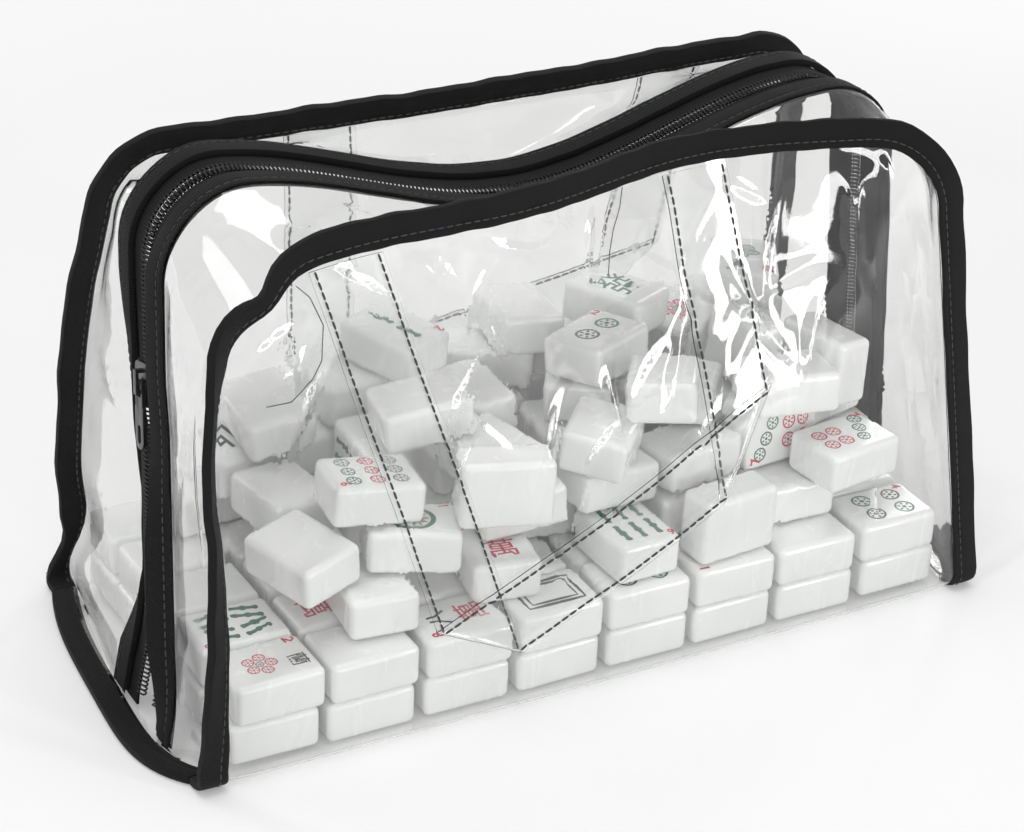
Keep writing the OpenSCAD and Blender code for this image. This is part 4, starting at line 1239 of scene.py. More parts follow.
@dataclass
class FilmBody:
    """The body sheet: both panels and the bottom, from one piece of film."""

    outline: Outline
    creases: dict[Side, Creases] = field(init=False)

    def __post_init__(self) -> None:
        """Draws the creases of both panels."""
        area = (-150.0, 150.0, 10.0, 178.0)
        front = (
            (128.0, 96.0, 88, 52, 5.0, 1.6),
            (112.0, 60.0, 95, 40, 4.0, 1.2),
            (-92.0, 84.0, 112, 40, 4.0, 1.5),
            (30.0, 118.0, 70, 30, 4.5, 1.6),
            (2.0, 104.0, 100, 26, 3.6, 1.3),
            (-28.0, 92.0, 75, 34, 4.4, 1.5),
            (64.0, 128.0, 120, 30, 4.0, 1.4),
            (-60.0, 122.0, 62, 32, 3.6, 1.3),
            (86.0, 108.0, 80, 30, 4.2, 1.4),
            (-118.0, 128.0, 60, 34, 4.5, 1.6),
        )
        self.creases = {
            Side.FRONT: Creases(5, area, 90, height=1.1, swell=0.6, placed=front),
            Side.BACK: Creases(6, area, 40, height=0.8, swell=0.4),
        }

    def edge_fade(self, x: np.ndarray, z: np.ndarray) -> np.ndarray:
        """The share of the creases that is left near a panel's edges."""
        o = self.outline
        room = [(o.seam_half(z) - np.abs(x) - 1) / 14, (o.height - z - 1) / 12, (z - 9) / 16]
        share = np.clip(np.minimum.reduce(room), 0, 1)
        return share * share * (3 - 2 * share)

    def pressed(self, side: Side, x: float, z: float) -> float:
        """How far a panel's film stands proud at one of its points."""
        place = np.array([float(x)]), np.array([float(z)])
        return float((self.creases[side].depth(*place) * self.edge_fade(*place))[0])

    def flange_point(self, fr: np.ndarray, k: int, towards: int, width: float) -> Point:
        """A point of the seam's flange, drawn apart at the corner of the cut."""
        share = float(np.linalg.norm(fr[k, 1]))
        e = unit(fr[k, 1] if k == towards else 0.8 * fr[k, 1] + 0.2 * fr[towards, 1])
        return fr[k, 0] + e * width * share

    def panel_rows(self, side: Side) -> list[np.ndarray]:
        """The rows of a panel's grid, from its foot upwards."""
        o = self.outline
        fr = o.seams[side]
        left, top, right = o.panel_lines(side)
        rows = []
        for i in range(o.left_count):
            k = o.first_left + i
            m = o.last - k
            is_top = i == o.left_count - 1
            v = i / (o.left_count - 1)
            row = [self.flange_point(fr, k, k - 1 if is_top else k, o.flange)]
            for j in range(o.top_count):
                u = j / (o.top_count - 1)
                corners = (1 - v) * mix(left[0], right[0], u) + v * mix(top[0], top[-1], u)
                p = (1 - v) * mix(left[0], right[0], u) + v * top[j] + mix(left[i], right[i], u) - corners
                row.append(o.on_panel(side, p))
            row.append(self.flange_point(fr, m, m + 1 if is_top else m, o.flange))
            rows.append(np.array(row))
        a, b = o.first_top, o.first_top + o.top_count - 1
        tip = [self.flange_point(fr, a, a, o.flange)]
        for j in range(o.top_count):
            k = a + j
            towards = k + 1 if j == 0 else k - 1 if j == o.top_count - 1 else k
            tip.append(self.flange_point(fr, k, towards, o.flange))
        tip.append(self.flange_point(fr, b, b, o.flange))
        rows.append(np.array(tip))
        return rows

    def fold_row(self, side: Side, t: float) -> np.ndarray:
        """A row of the fold between a panel and the bottom."""
        o = self.outline
        h = o.seam_half(o.fold_r)
        row = [o.fold_point(side, -h, t, o.edge_z) - vec(o.flange, 0, 0)]
        for j in range(o.top_count):
            u = j / (o.top_count - 1)
            row.append(o.fold_point(side, -h + 2 * h * u, t, o.bottom_z(u)))
        row.append(o.fold_point(side, h, t, o.edge_z) + vec(o.flange, 0, 0))
        return np.array(row)

    def bottom_row(self, y: float) -> np.ndarray:
        """A row across the bottom."""
        o = self.outline
        left, right = -o.bottom_half(-1, y), o.bottom_half(1, y)
        row = [vec(left - o.flange, y, o.edge_z)]
        for j in range(o.top_count):
            u = j / (o.top_count - 1)
            row.append(vec(left + (right - left) * u, y, o.bottom_z(u)))
        row.append(vec(right + o.flange, y, o.edge_z))
        return np.array(row)

    def crumple(self, g: Grid) -> Grid:
        """Presses the creases into the two panels of the grid."""
        n = grid_normals(g)
        moved = g.copy()
        x, y, z = g[..., 0], g[..., 1], g[..., 2]
        for side in Side:
            here = (np.sign(y) == side) & (z > 9)
            push = self.creases[side].depth(x, z) * self.edge_fade(x, z)
            out = np.where((n[..., 1] * side > 0)[..., None], n, -n)
            moved = np.where(here[..., None], g + out * push[..., None], moved)
        return moved

    def build(self, finishes: Finishes) -> None:
        """Builds the body sheet."""
        o = self.outline
        rows = list(reversed(self.panel_rows(Side.FRONT)))
        rows += [self.fold_row(Side.FRONT, k / o.fold_steps) for k in range(1, o.fold_steps + 1)]
        y0, y1 = o.bottom_end(Side.FRONT), o.bottom_end(Side.BACK)
        rows += [self.bottom_row(y0 + (y1 - y0) * k / o.bottom_steps) for k in range(1, o.bottom_steps)]
        rows += [self.fold_row(Side.BACK, k / o.fold_steps) for k in range(o.fold_steps, 0, -1)]
        rows += self.panel_rows(Side.BACK)
        g = self.crumple(finer(np.array(rows), 2))
        obj = shell_object("film_body", g, o.film_t)
        finish_closed(obj, 75, finishes.film, ["body_sheet"])


@dataclass
class FilmGusset:
    """The film between a panel's seam and the zip."""

    outline: Outline
    side: Side
    steps: int = 13

    def row(self, k: int) -> np.ndarray:
        """The points across the gusset at one place of the seam."""
        o, side = self.outline, self.side
        f, z = o.seams[side][k], o.zip_line[k]
        shares = [(s + 1) / (self.steps + 1) for s in range(self.steps)]
        if k in (0, o.last):
            out = vec(-1 if k == 0 else 1, 0, 0)
            y0, y1 = f[0][1], o.beside_zip(side, z, o.fold_edge + o.zip_fold_w + 1, o.film_n)[1]
            y2 = o.beside_zip(side, z, o.fold_edge + o.tape_t + o.tape_gap, o.film_n)[1]
            near = y0 - side * 4
            ys = [near] + [near + (y1 - near) * s for s in shares] + [y1, y2]
            up = vec(0, 0, o.edge_z + o.lap)
            row = [f[0] + out * o.flange + vec(0, 0, o.lap), f[0] + vec(0, 0, o.lap)]
            return np.array(row + [out * o.bottom_half(int(out[0]), y) + vec(0, y, 0) + up for y in ys])
        seam = f[0] - f[2] * o.lap
        rim = o.beside_zip(side, z, o.fold_edge + o.tape_t + o.tape_gap, o.film_n)
        free = o.beside_zip(side, z, o.fold_edge + o.zip_fold_w + 1, o.film_n)
        across = vec(0, -side, 0)
        outward = unit(f[1])
        near = seam + unit(across - np.dot(across, outward) * outward) * 4
        if k <= o.first_left or k >= o.last - o.first_left:
            swell = 0.0
        else:
            swell = 1.5 if k < o.first_top or k > o.last - o.first_top else -2.0
        middle = [mix(near, free, s) + z[2] * swell * math.sin(math.pi * s) for s in shares]
        return np.array([seam + f[1] * o.flange, seam, near] + middle + [free, rim])

    def hem(self, row: np.ndarray, out: Point) -> np.ndarray:
        """The flange that lies over the bottom's side seam."""
        lean = {0: 0.1, 1: 0.25}
        made = []
        for j in range(len(row)):
            towards = unit(out - vec(0, self.side * lean.get(j, 0.0), 0))
            made.append(row[max(j, 1)] + towards * self.outline.flange)
        return np.array(made)

    def crumple(self, g: Grid) -> Grid:
        """Presses creases into the free film between the seam and the zip."""
        uv = grid_uv(g)
        length = float(uv[-1, 5, 1])
        creases = Creases(11 + self.side, (0.0, length, 4.0, 60.0), 90, height=1.0, swell=0.7, inward=1.0)
        across = np.linspace(0, 1, g.shape[1])[None, :]
        fade = np.clip(np.minimum(across - 0.12, 0.86 - across) / 0.18, 0, 1)
        ends = np.linspace(0, 1, g.shape[0])[:, None]
        fade = fade * np.clip(np.minimum(ends, 1 - ends) / 0.05 - 0.3, 0, 1)
        push = creases.depth(uv[..., 1], uv[..., 0]) * fade
        n = grid_normals(g)
        centre = vec(0, 0, 80)
        out = np.where((np.sum(n * (g - centre), axis=-1) > 0)[..., None], n, -n)
        return g + out * push[..., None]

    def build(self, finishes: Finishes) -> None:
        """Builds the gusset."""
        o = self.outline
        rows = [self.row(k) for k in range(o.last + 1)]
        g = np.array([self.hem(rows[0], vec(-1, 0, 0))] + rows + [self.hem(rows[-1], vec(1, 0, 0))])
        g = self.crumple(g)
        if self.side is Side.BACK:
            g = g[:, ::-1]
        obj = shell_object(f"film_gusset_{self.side.word}", g, o.film_t)
        finish_closed(obj, 75, finishes.film, [f"{self.side.word}_gusset"])


# ---- woven bindings


@dataclass
class Fold:
    """The cross-section of a tape that is folded round a film edge."""

    start_high: float
    start_low: float
    tip: float
    low: float
    high: float
    tape_t: float
    tape_gap: float

    def ring(self) -> list[tuple[float, float]]:
        """The closed outline, as [outwards, proud] pairs with rounded corners."""
        a, b = self.high + self.tape_gap, self.low - self.tape_gap
        t, g, tip = self.tape_t, self.tape_gap, self.tip
        top = self.face(self.start_high, a + t, -t)
        nose = [(tip + g + t * 0.72, a + t * 0.72), (tip + g + t, a - 0.1)]
        nose += [(tip + g + t, b + 0.1), (tip + g + t * 0.72, b - t * 0.72)]
        low = self.face(self.start_low, b - t, t)[::-1]
        inner = [(self.start_low, b), (tip - 1, b), (tip + g * 0.8, self.low), (tip + g * 0.8, self.high)]
        inner += [(tip - 1, a), (self.start_high, a)]
        return top + nose + low + inner

    def face(self, start: float, level: float, inwards: float) -> list[tuple[float, float]]:
        """One outer face from its free edge, with the groove that its stitches pull in."""
        cuts = ((0, 0.3), (0.08, 0.02), (0.21, 0.05), (0.29, 0.36))
        cuts += ((0.37, 0.05), (0.52, 0), (0.72, 0.02), (0.9, 0.08))
        reach = self.tip + self.tape_gap - start
        return [(start + reach * share, level + inwards * deep) for share, deep in cuts]


@dataclass
class Bindings:
    """The woven tapes sewn over the film edges, with their stitches."""

    outline: Outline
    pitch: float = 3.4
    stitch_l: float = 2.5
    stitch_t: float = 0.5
    stitch_in: float = 2.4

    def pucker(self, k: int, seed: int) -> tuple[float, float]:
        """Small uneven shifts of a hand-fed tape, outwards and proud."""
        a = 0.2 * math.sin(0.83 * k + seed) + 0.14 * math.sin(1.37 * k + 2 * seed)
        a += 0.3 * math.sin(0.29 * k + seed)
        b = 0.16 * math.sin(0.7 * k + 3 * seed) + 0.1 * math.sin(1.37 * k + seed)
        return a, b

    def seam(self, side: Side) -> tuple[np.ndarray, Fold]:
        """The frames and cross-section of a panel's binding."""
        o = self.outline
        fold = Fold(-0.5, 1.0, o.flange, -o.lap - o.film_t / 2, o.film_t / 2, o.tape_t, o.tape_gap)
        return o.seams[side], fold

    def edge_binding(self, side: Side, finishes: Finishes) -> None:
        """Builds the binding round one panel."""
        frames, fold = self.seam(side)
        ring = fold.ring()
        rings = []
        for k, f in enumerate(frames):
            a, b = self.pucker(k, 3 if side is Side.FRONT else 5)
            start = fold.start_high + 1.1 * math.sin(self.outline.flange_bend(side, f[0]))
            rings.append([
                f[0] + f[1] * (max(u, start) + (a if u > 3 else 0.5 * a)) + f[2] * (n + b) for u, n in ring
            ])
        obj = swept_object(f"binding_{side.word}", np.array(rings))
        finish_closed(obj, 50, finishes.binding, [f"{side.word}_binding"])

    def bottom_binding(self, hand: int, finishes: Finishes) -> None:
        """Builds the binding along one side of the bottom."""
        o = self.outline
        fold = Fold(-0.5, 1.6, o.flange, -o.lap - o.film_t / 2, o.film_t / 2, o.tape_t, o.tape_gap)
        ring = fold.ring()
        y0, y1 = o.bottom_end(Side.FRONT) + 0.4, o.bottom_end(Side.BACK) - 0.4
        rings = []
        for k in range(41):
            y = y0 + (y1 - y0) * k / 40
            p = vec(hand * o.bottom_half(hand, y), y, o.edge_z)
            rings.append([p + vec(hand * u, 0, -n) for u, n in ring])
        word = "left" if hand < 0 else "right"
        obj = swept_object(f"binding_bottom_{word}", np.array(rings))
        finish_closed(obj, 50, finishes.binding, [f"{word}_bottom_binding"])

    def zip_binding(self, side: Side, finishes: Finishes) -> None:
        """Builds the folded tape beside the zip."""
        o = self.outline
        low, high = o.film_n - o.film_t / 2, o.film_n + o.film_t / 2
        fold = Fold(0.0, 0.0, o.zip_fold_w - o.tape_t - o.tape_gap, low, high, o.tape_t, o.tape_gap)
        ring = [(o.fold_edge + o.zip_fold_w - u, n) for u, n in fold.ring()]
        rings = []
        for k in range(1, o.last):
            f = o.zip_line[k]
            a, b = self.pucker(k, 7 if side is Side.FRONT else 9)
            rings.append([o.beside_zip(side, f, u + 0.5 * a, n + 0.4 * b) for u, n in ring])
        obj = swept_object(f"binding_zip_{side.word}", np.array(rings))
        finish_closed(obj, 50, finishes.binding, [f"{side.word}_zip_binding"])

    def stitches(self, finishes: Finishes) -> None:
        """Builds the stitch rows on all the bindings."""
        o = self.outline
        pool = CopyPool()
        stitch = stitch_shape(self.stitch_l, self.stitch_t)
        for side in Side:
            frames, fold = self.seam(side)
            for level, up in ((fold.high, 1), (fold.low, -1)):
                n = level + up * (o.tape_gap + o.tape_t - 0.02)
                line = [f[0] + f[1] * self.stitch_in + f[2] * n for f in frames]
                self.run(pool, stitch, line, [f[2] * up for f in frames])
            proud = o.film_n + o.film_t / 2 + o.tape_gap + o.tape_t - 0.02
            row = o.fold_edge + o.zip_fold_w - 2.5
            line = [o.beside_zip(side, f, row, proud) for f in o.zip_line[2:-2]]
            lifted = [o.beside_zip(side, f, row, proud + 1) for f in o.zip_line[2:-2]]
            self.run(pool, stitch, line, [unit(b - a) for a, b in zip(line, lifted)])
        finish_piece(pool.build("binding_stitches"), [finishes.thread])

    def run(self, pool: CopyPool, stitch: Shape, line: Sequence[Point], ups: Sequence[Point]) -> None:
        """Sets stitches along a line.

        Args:
            pool: Where the copies go.
            stitch: The stitch.
            line: The line's points.
            ups: The surface directions at these points.
        """
        points = np.array(line)
        lengths = running_lengths(points)
        for s in np.arange(self.pitch, lengths[-1] - self.pitch, self.pitch):
            k = int(np.searchsorted(lengths, s)) - 1
            t = (s - lengths[k]) / max(lengths[k + 1] - lengths[k], 1e-6)
            along = unit(points[k + 1] - points[k])
            up = unit(mix(ups[k], ups[k + 1], t))
            pool.add(stitch, stitch_place(mix(points[k], points[k + 1], t), along, up))

    def build(self, finishes: Finishes) -> None:
        """Builds all the bindings and their stitches."""
        for side in Side:
            self.edge_binding(side, finishes)
            self.zip_binding(side, finishes)
        for hand in (-1, 1):
            self.bottom_binding(hand, finishes)
        self.stitches(finishes)


# ---- zip


@dataclass
class Zip:
    """The zip's tapes and its two coils."""

    outline: Outline
    wire: float = 0.75
    loop_h: float = 2.3
    coil_pitch: float = 1.6
    tape_spread: float = 3.6
    tape_lift: float = 1.5

    def tape(self, side: Side, finishes: Finishes) -> None:
        """Builds one woven tape."""
        o = self.outline
        rows = []
        for f in o.zip_line:
            share = min(o.zip_turn(side, f[0]) * 3, 1.0) if side is Side.FRONT else 0.0
            us = np.linspace(o.tape_edge, o.tape_edge + o.zip_tape_w + self.tape_spread * share, 8)
            lifts = [f[2] * self.tape_lift * share * smooth((u - 8) / 8) for u in us]
            rows.append([o.beside_zip(side, f, u, 0.0) + lift for u, lift in zip(us, lifts)])
        obj = shell_object(f"zip_tape_{side.word}", np.array(rows), o.zip_tape_t)
        finish_closed(obj, 50, finishes.zip_tape, [f"{side.word}_zip_tape"])

    def loop(self) -> Shape:
        """One turn of the coil: a bent wire over the tape's edge, across X."""
        o = self.outline
        reach = o.tape_edge - 0.1 + o.tooth_lap
        h = self.loop_h / 2
        path = [(reach / 2, 0, h * 0.75), (-reach * 0.25, -0.1, h), (-reach / 2, -0.25, h * 0.45)]
        path += [(-reach / 2, 0.1, -h * 0.45), (-reach * 0.25, 0.3, -h), (reach / 2, 0.4, -h * 0.75)]
        curve = bpy.data.curves.new("loop", "CURVE")
        curve.dimensions = "3D"
        spline = curve.splines.new("POLY")
        spline.points.add(len(path) - 1)
        for point, place in zip(spline.points, path):
            point.co = (*[c * MM for c in place], 1)
        curve.bevel_depth = self.wire / 2 * MM
        curve.bevel_resolution = 0
        curve.use_fill_caps = True
        obj = linked("loop", curve)
        make_active(obj)
        bpy.ops.object.convert(target="MESH")
        return Shape.of(bpy.context.object)

    def coil(self, side: Side, finishes: Finishes) -> None:
        """Builds one coil along the zip."""
        o = self.outline
        pool = CopyPool()
        loop = self.loop()
        points = o.zip_line[:, 0]
        lengths = running_lengths(points)
        start = lengths[3] + (0 if side is Side.FRONT else self.coil_pitch / 2)
        reach = o.tape_edge - 0.1 + o.tooth_lap
        for s in np.arange(start, lengths[-4], self.coil_pitch):
            k = int(np.searchsorted(lengths, s)) - 1
            t = (s - lengths[k]) / (lengths[k + 1] - lengths[k])
            p = mix(points[k], points[k + 1], t)
            along = unit(points[k + 1] - points[k])
            out = unit(np.cross(along, vec(0, 1, 0)))
            away = unit(np.cross(out, along)) * -1
            away = away if away[1] * side > 0 else -away
            straight = math.hypot(along[0], along[2])
            aside = o.parting(p) * straight - o.tooth_lap + reach / 2
            pool.add(loop, placing(p + away * aside, away, along, out))
        obj = pool.build(f"zip_coil_{side.word}", 60)
        face_outwards(obj)
        finish_piece(obj, [finishes.coil], [f"{side.word}_zip_teeth"])

    def build(self, finishes: Finishes) -> None:
        """Builds both tapes and both coils."""
        for side in Side:
            self.tape(side, finishes)
            self.coil(side, finishes)


@dataclass
class SliderParts:
    """The slider and its pull, with their edges rounded."""

    round_r: float = 0.32

    def rounded(self, node: str, name: str, body: str, finishes: Finishes) -> None:
        """Copies a solid, merges its faces and rounds its edges.

        Args:
            node: The solid's name.
            name: The piece's name.
            body: The body that it rides on.
            finishes: The materials.
        """
        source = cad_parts[node]
        obj = linked(name, source.data.copy())
        make_active(obj)
        bpy.ops.object.mode_set(mode="EDIT")
        bpy.ops.mesh.select_all(action="SELECT")
        bpy.ops.mesh.remove_doubles(threshold=1e-6)
        bpy.ops.mesh.dissolve_limited(angle_limit=math.radians(2))
        bpy.ops.object.mode_set(mode="OBJECT")
        bevel = obj.modifiers.new("edges", "BEVEL")
        bevel.width = self.round_r * MM
        bevel.segments = 3
        bevel.limit_method = "ANGLE"
        bevel.angle_limit = math.radians(32)
        apply_modifiers(obj)
        shade(obj, 40)
        finish_piece(obj, [finishes.paint], [node], body)

    def build(self, finishes: Finishes) -> None:
        """Builds the slider and the pull."""
        self.rounded("slider_body", "slider", "slider", finishes)
        self.rounded("pull_tab", "pull", "pull", finishes)


# ---- straps


@dataclass
class Strap:
    """One strip sewn on a panel, folded at both lower corners."""

    film: FilmBody
    side: Side
    path: tuple[tuple[float, float], ...]
    width: float = 28.0
    thickness: float = 0.5
    gap: float = 0.6
    fold_gap: float = 0.8
    inset: float = 2.0
    rows: int = 26
    stitch_pitch: float = 3.6
    stitch_l: float = 3.2
    stitch_t: float = 0.85

    def __post_init__(self) -> None:
        """Works out the heights of the strip's two layers."""
        self.low = self.film.outline.film_t / 2 + self.gap + self.thickness / 2
        self.high = self.low + self.thickness + self.fold_gap

    def line(self, w: float) -> list[tuple[Point, float]]:
        """The strip's line at distance w from its middle.

        Args:
            w: The distance, to the left of the strip's first run.

        Returns:
            Panel points, each with its height over the panel.
        """
        path = [vec(*p) for p in self.path]
        d = [unit(path[k + 1] - path[k]) for k in range(3)]
        c = [unit(d[0] + d[1]), unit(d[1] + d[2])]
        n0 = vec(-d[0][1], d[0][0])
        n1 = 2 * np.dot(n0, c[0]) * c[0] - n0
        n2 = 2 * np.dot(n1, c[1]) * c[1] - n1

        def on_crease(p: Point, n: Point, run: Point, crease: Point) -> Point:
            """Where a line beside a run meets the crease."""
            square = vec(-crease[1], crease[0])
            return p + w * n - np.dot(w * n, square) / np.dot(run, square) * run

        a = self.end_point(path[0][0] + w * n0[0])
        b = on_crease(path[1], n0, d[0], c[0])
        e = on_crease(path[2], n1, d[1], c[1])
        f = self.end_point(path[3][0] + w * n2[0])
        middle, bend = (self.low + self.high) / 2, (self.high - self.low) / 2
        lower, upper = (self.low + share * (self.high - self.low) for share in (0.25, 0.75))
        out1 = unit(d[0] - np.dot(d[0], c[0]) * c[0])
        out2 = unit(d[1] - np.dot(d[1], c[1]) * c[1])
        steps = [k / self.rows for k in range(self.rows + 1)]
        made = [(mix(a, b, t), self.low) for t in steps]
        made += [(b + out1 * bend * 0.8, lower), (b + out1 * bend, middle), (b + out1 * bend * 0.8, upper)]
        made += [(mix(b, e, t), self.high) for t in steps]
        made += [(e + out2 * bend * 0.8, upper), (e + out2 * bend, middle), (e + out2 * bend * 0.8, lower)]
        made += [(mix(e, f, t), self.low) for t in steps]
        return made

    def end_point(self, x: float) -> Point:
        """The panel point where a strip's line ends, just short of the seam."""
        return vec(x, self.film.outline.seam_top(self.side, x) - 1.6)

    def raised(self, p: Point, height: float) -> Point:
        """The point in space over a panel point, on the creased film."""
        o = self.film.outline
        lift = height + self.film.pressed(self.side, p[0], p[1])
        return o.on_panel(self.side, p) + o.panel_normal(self.side, p) * lift

    def strip(self, finishes: Finishes) -> None:
        """Builds the strip itself."""
        widths = np.linspace(-self.width / 2, self.width / 2, 13)
        lines = [self.line(float(w)) for w in widths]
        g = np.array([
            [self.raised(line[k][0], line[k][1]) for line in lines] for k in range(len(lines[0]))
        ])
        obj = shell_object(f"strap_{self.side.word}", g, self.thickness)
        finish_closed(obj, 60, finishes.strap, [f"{self.side.word}_strap"])

    def stitches(self, finishes: Finishes) -> None:
        """Builds the two rows of stitches along the strip."""
        pool = CopyPool()
        stitch = stitch_shape(self.stitch_l, self.stitch_t)
        o = self.film.outline
        rise = self.thickness / 2 + 0.4
        for w in (-self.width / 2 + self.inset, self.width / 2 - self.inset):
            line = self.line(w)
            corners = [0, self.rows, self.rows + 4, 2 * self.rows + 4, 2 * self.rows + 8, 3 * self.rows + 8]
            for run in range(3):
                (start, height), (stop, _) = line[corners[2 * run]], line[corners[2 * run + 1]]
                count = int(np.linalg.norm(stop - start) / self.stitch_pitch)
                for k in range(count):
                    p = mix(start, stop, (k + 0.5) / count)
                    step = unit(stop - start) * 0.8
                    along = unit(self.raised(p + step, height + rise) - self.raised(p - step, height + rise))
                    at = self.raised(p, height + rise)
                    pool.add(stitch, stitch_place(at, along, o.panel_normal(self.side, p)))
        obj = pool.build(f"strap_stitches_{self.side.word}")
        finish_piece(obj, [finishes.thread], [f"{self.side.word}_strap_thread"])

    def build(self, finishes: Finishes) -> None:
        """Builds the strip and its stitches."""
        self.strip(finishes)
        self.stitches(finishes)


# ---- loose threads


@dataclass
class ThreadTails:
    """Uncut ends of sewing thread that cling to the film."""

    film: FilmBody
    thick: float = 0.34
    sides: int = 6

    def on_film(self, side: Side, points: Sequence[tuple[float, float]], lift: float) -> list[Point]:
        """Points in space of a line drawn on a panel.

        Args:
            side: The panel.
            points: The line's panel points.
            lift: Its height over the film's middle.

        Returns:
            The points, smoothly spaced.
        """
        given = np.array(points, float)
        reach = np.concatenate([[0], np.cumsum(np.linalg.norm(np.diff(given, axis=0), axis=1))])
        made = []
        for s in np.linspace(0, reach[-1], 4 * len(points) + 9):
            near = np.exp(-(((reach - s) / (0.55 * reach[-1] / len(points))) ** 2))
            p = (given * near[:, None]).sum(0) / near.sum()
            o = self.film.outline
            rise = lift + self.film.pressed(side, p[0], p[1])
            made.append(o.on_panel(side, p) + o.panel_normal(side, p) * rise)
        return made

    def tail(self, name: str, line: Sequence[Point], finishes: Finishes) -> None:
        """Builds one thread along a line of points."""
        points = np.array(line)
        turns = np.linspace(0, 2 * math.pi, self.sides + 1)[:-1]
        r = self.thick / 2
        rings = []
        for k, p in enumerate(points):
            along = unit(points[min(k + 1, len(points) - 1)] - points[max(k - 1, 0)])
            a = unit(np.cross(along, vec(0.1, 0.2, 1)))
            b = np.cross(along, a)
            rings.append([p + (a * math.cos(t) + b * math.sin(t)) * r for t in turns])
        obj = swept_object(name, np.array(rings))
        finish_closed(obj, 80, finishes.thread)

    def build(self, finishes: Finishes) -> None:
        """Builds the tails on the front panel."""
        lift = self.film.outline.film_t / 2 + self.thick / 2 + 0.02
        front = {
            "thread_tail_a": [
                (-118, 174), (-113, 169), (-109, 159), (-110, 147), (-114, 141), (-122, 135), (-131, 135)
            ],
            "thread_tail_b": [(12, 181), (10, 175), (6, 168), (4, 161), (3, 153)],
        }
        for name, points in front.items():
            self.tail(name, self.on_film(Side.FRONT, points, lift), finishes)


# ---- tiles


@dataclass
class Print:
    """One print on a tile's face: copies of stamps, each with its ink."""

    parts: list[tuple[str, float, float, float, float, Ink]] = field(default_factory=list)

    def add(self, stamp: str, x: float, y: float, size: float, ink: Ink, turn: float = 0.0) -> "Print":
        """Adds a stamp.

        Args:
            stamp: The stamp's name.
            x: Its place across the face, in millimetres.
            y: Its place up the face, in millimetres.
            size: Its size in millimetres.
            ink: Its colour.
            turn: Its turn in degrees.

        Returns:
            The print itself.
        """
        self.parts.append((stamp, x, y, size, turn, ink))
        return self


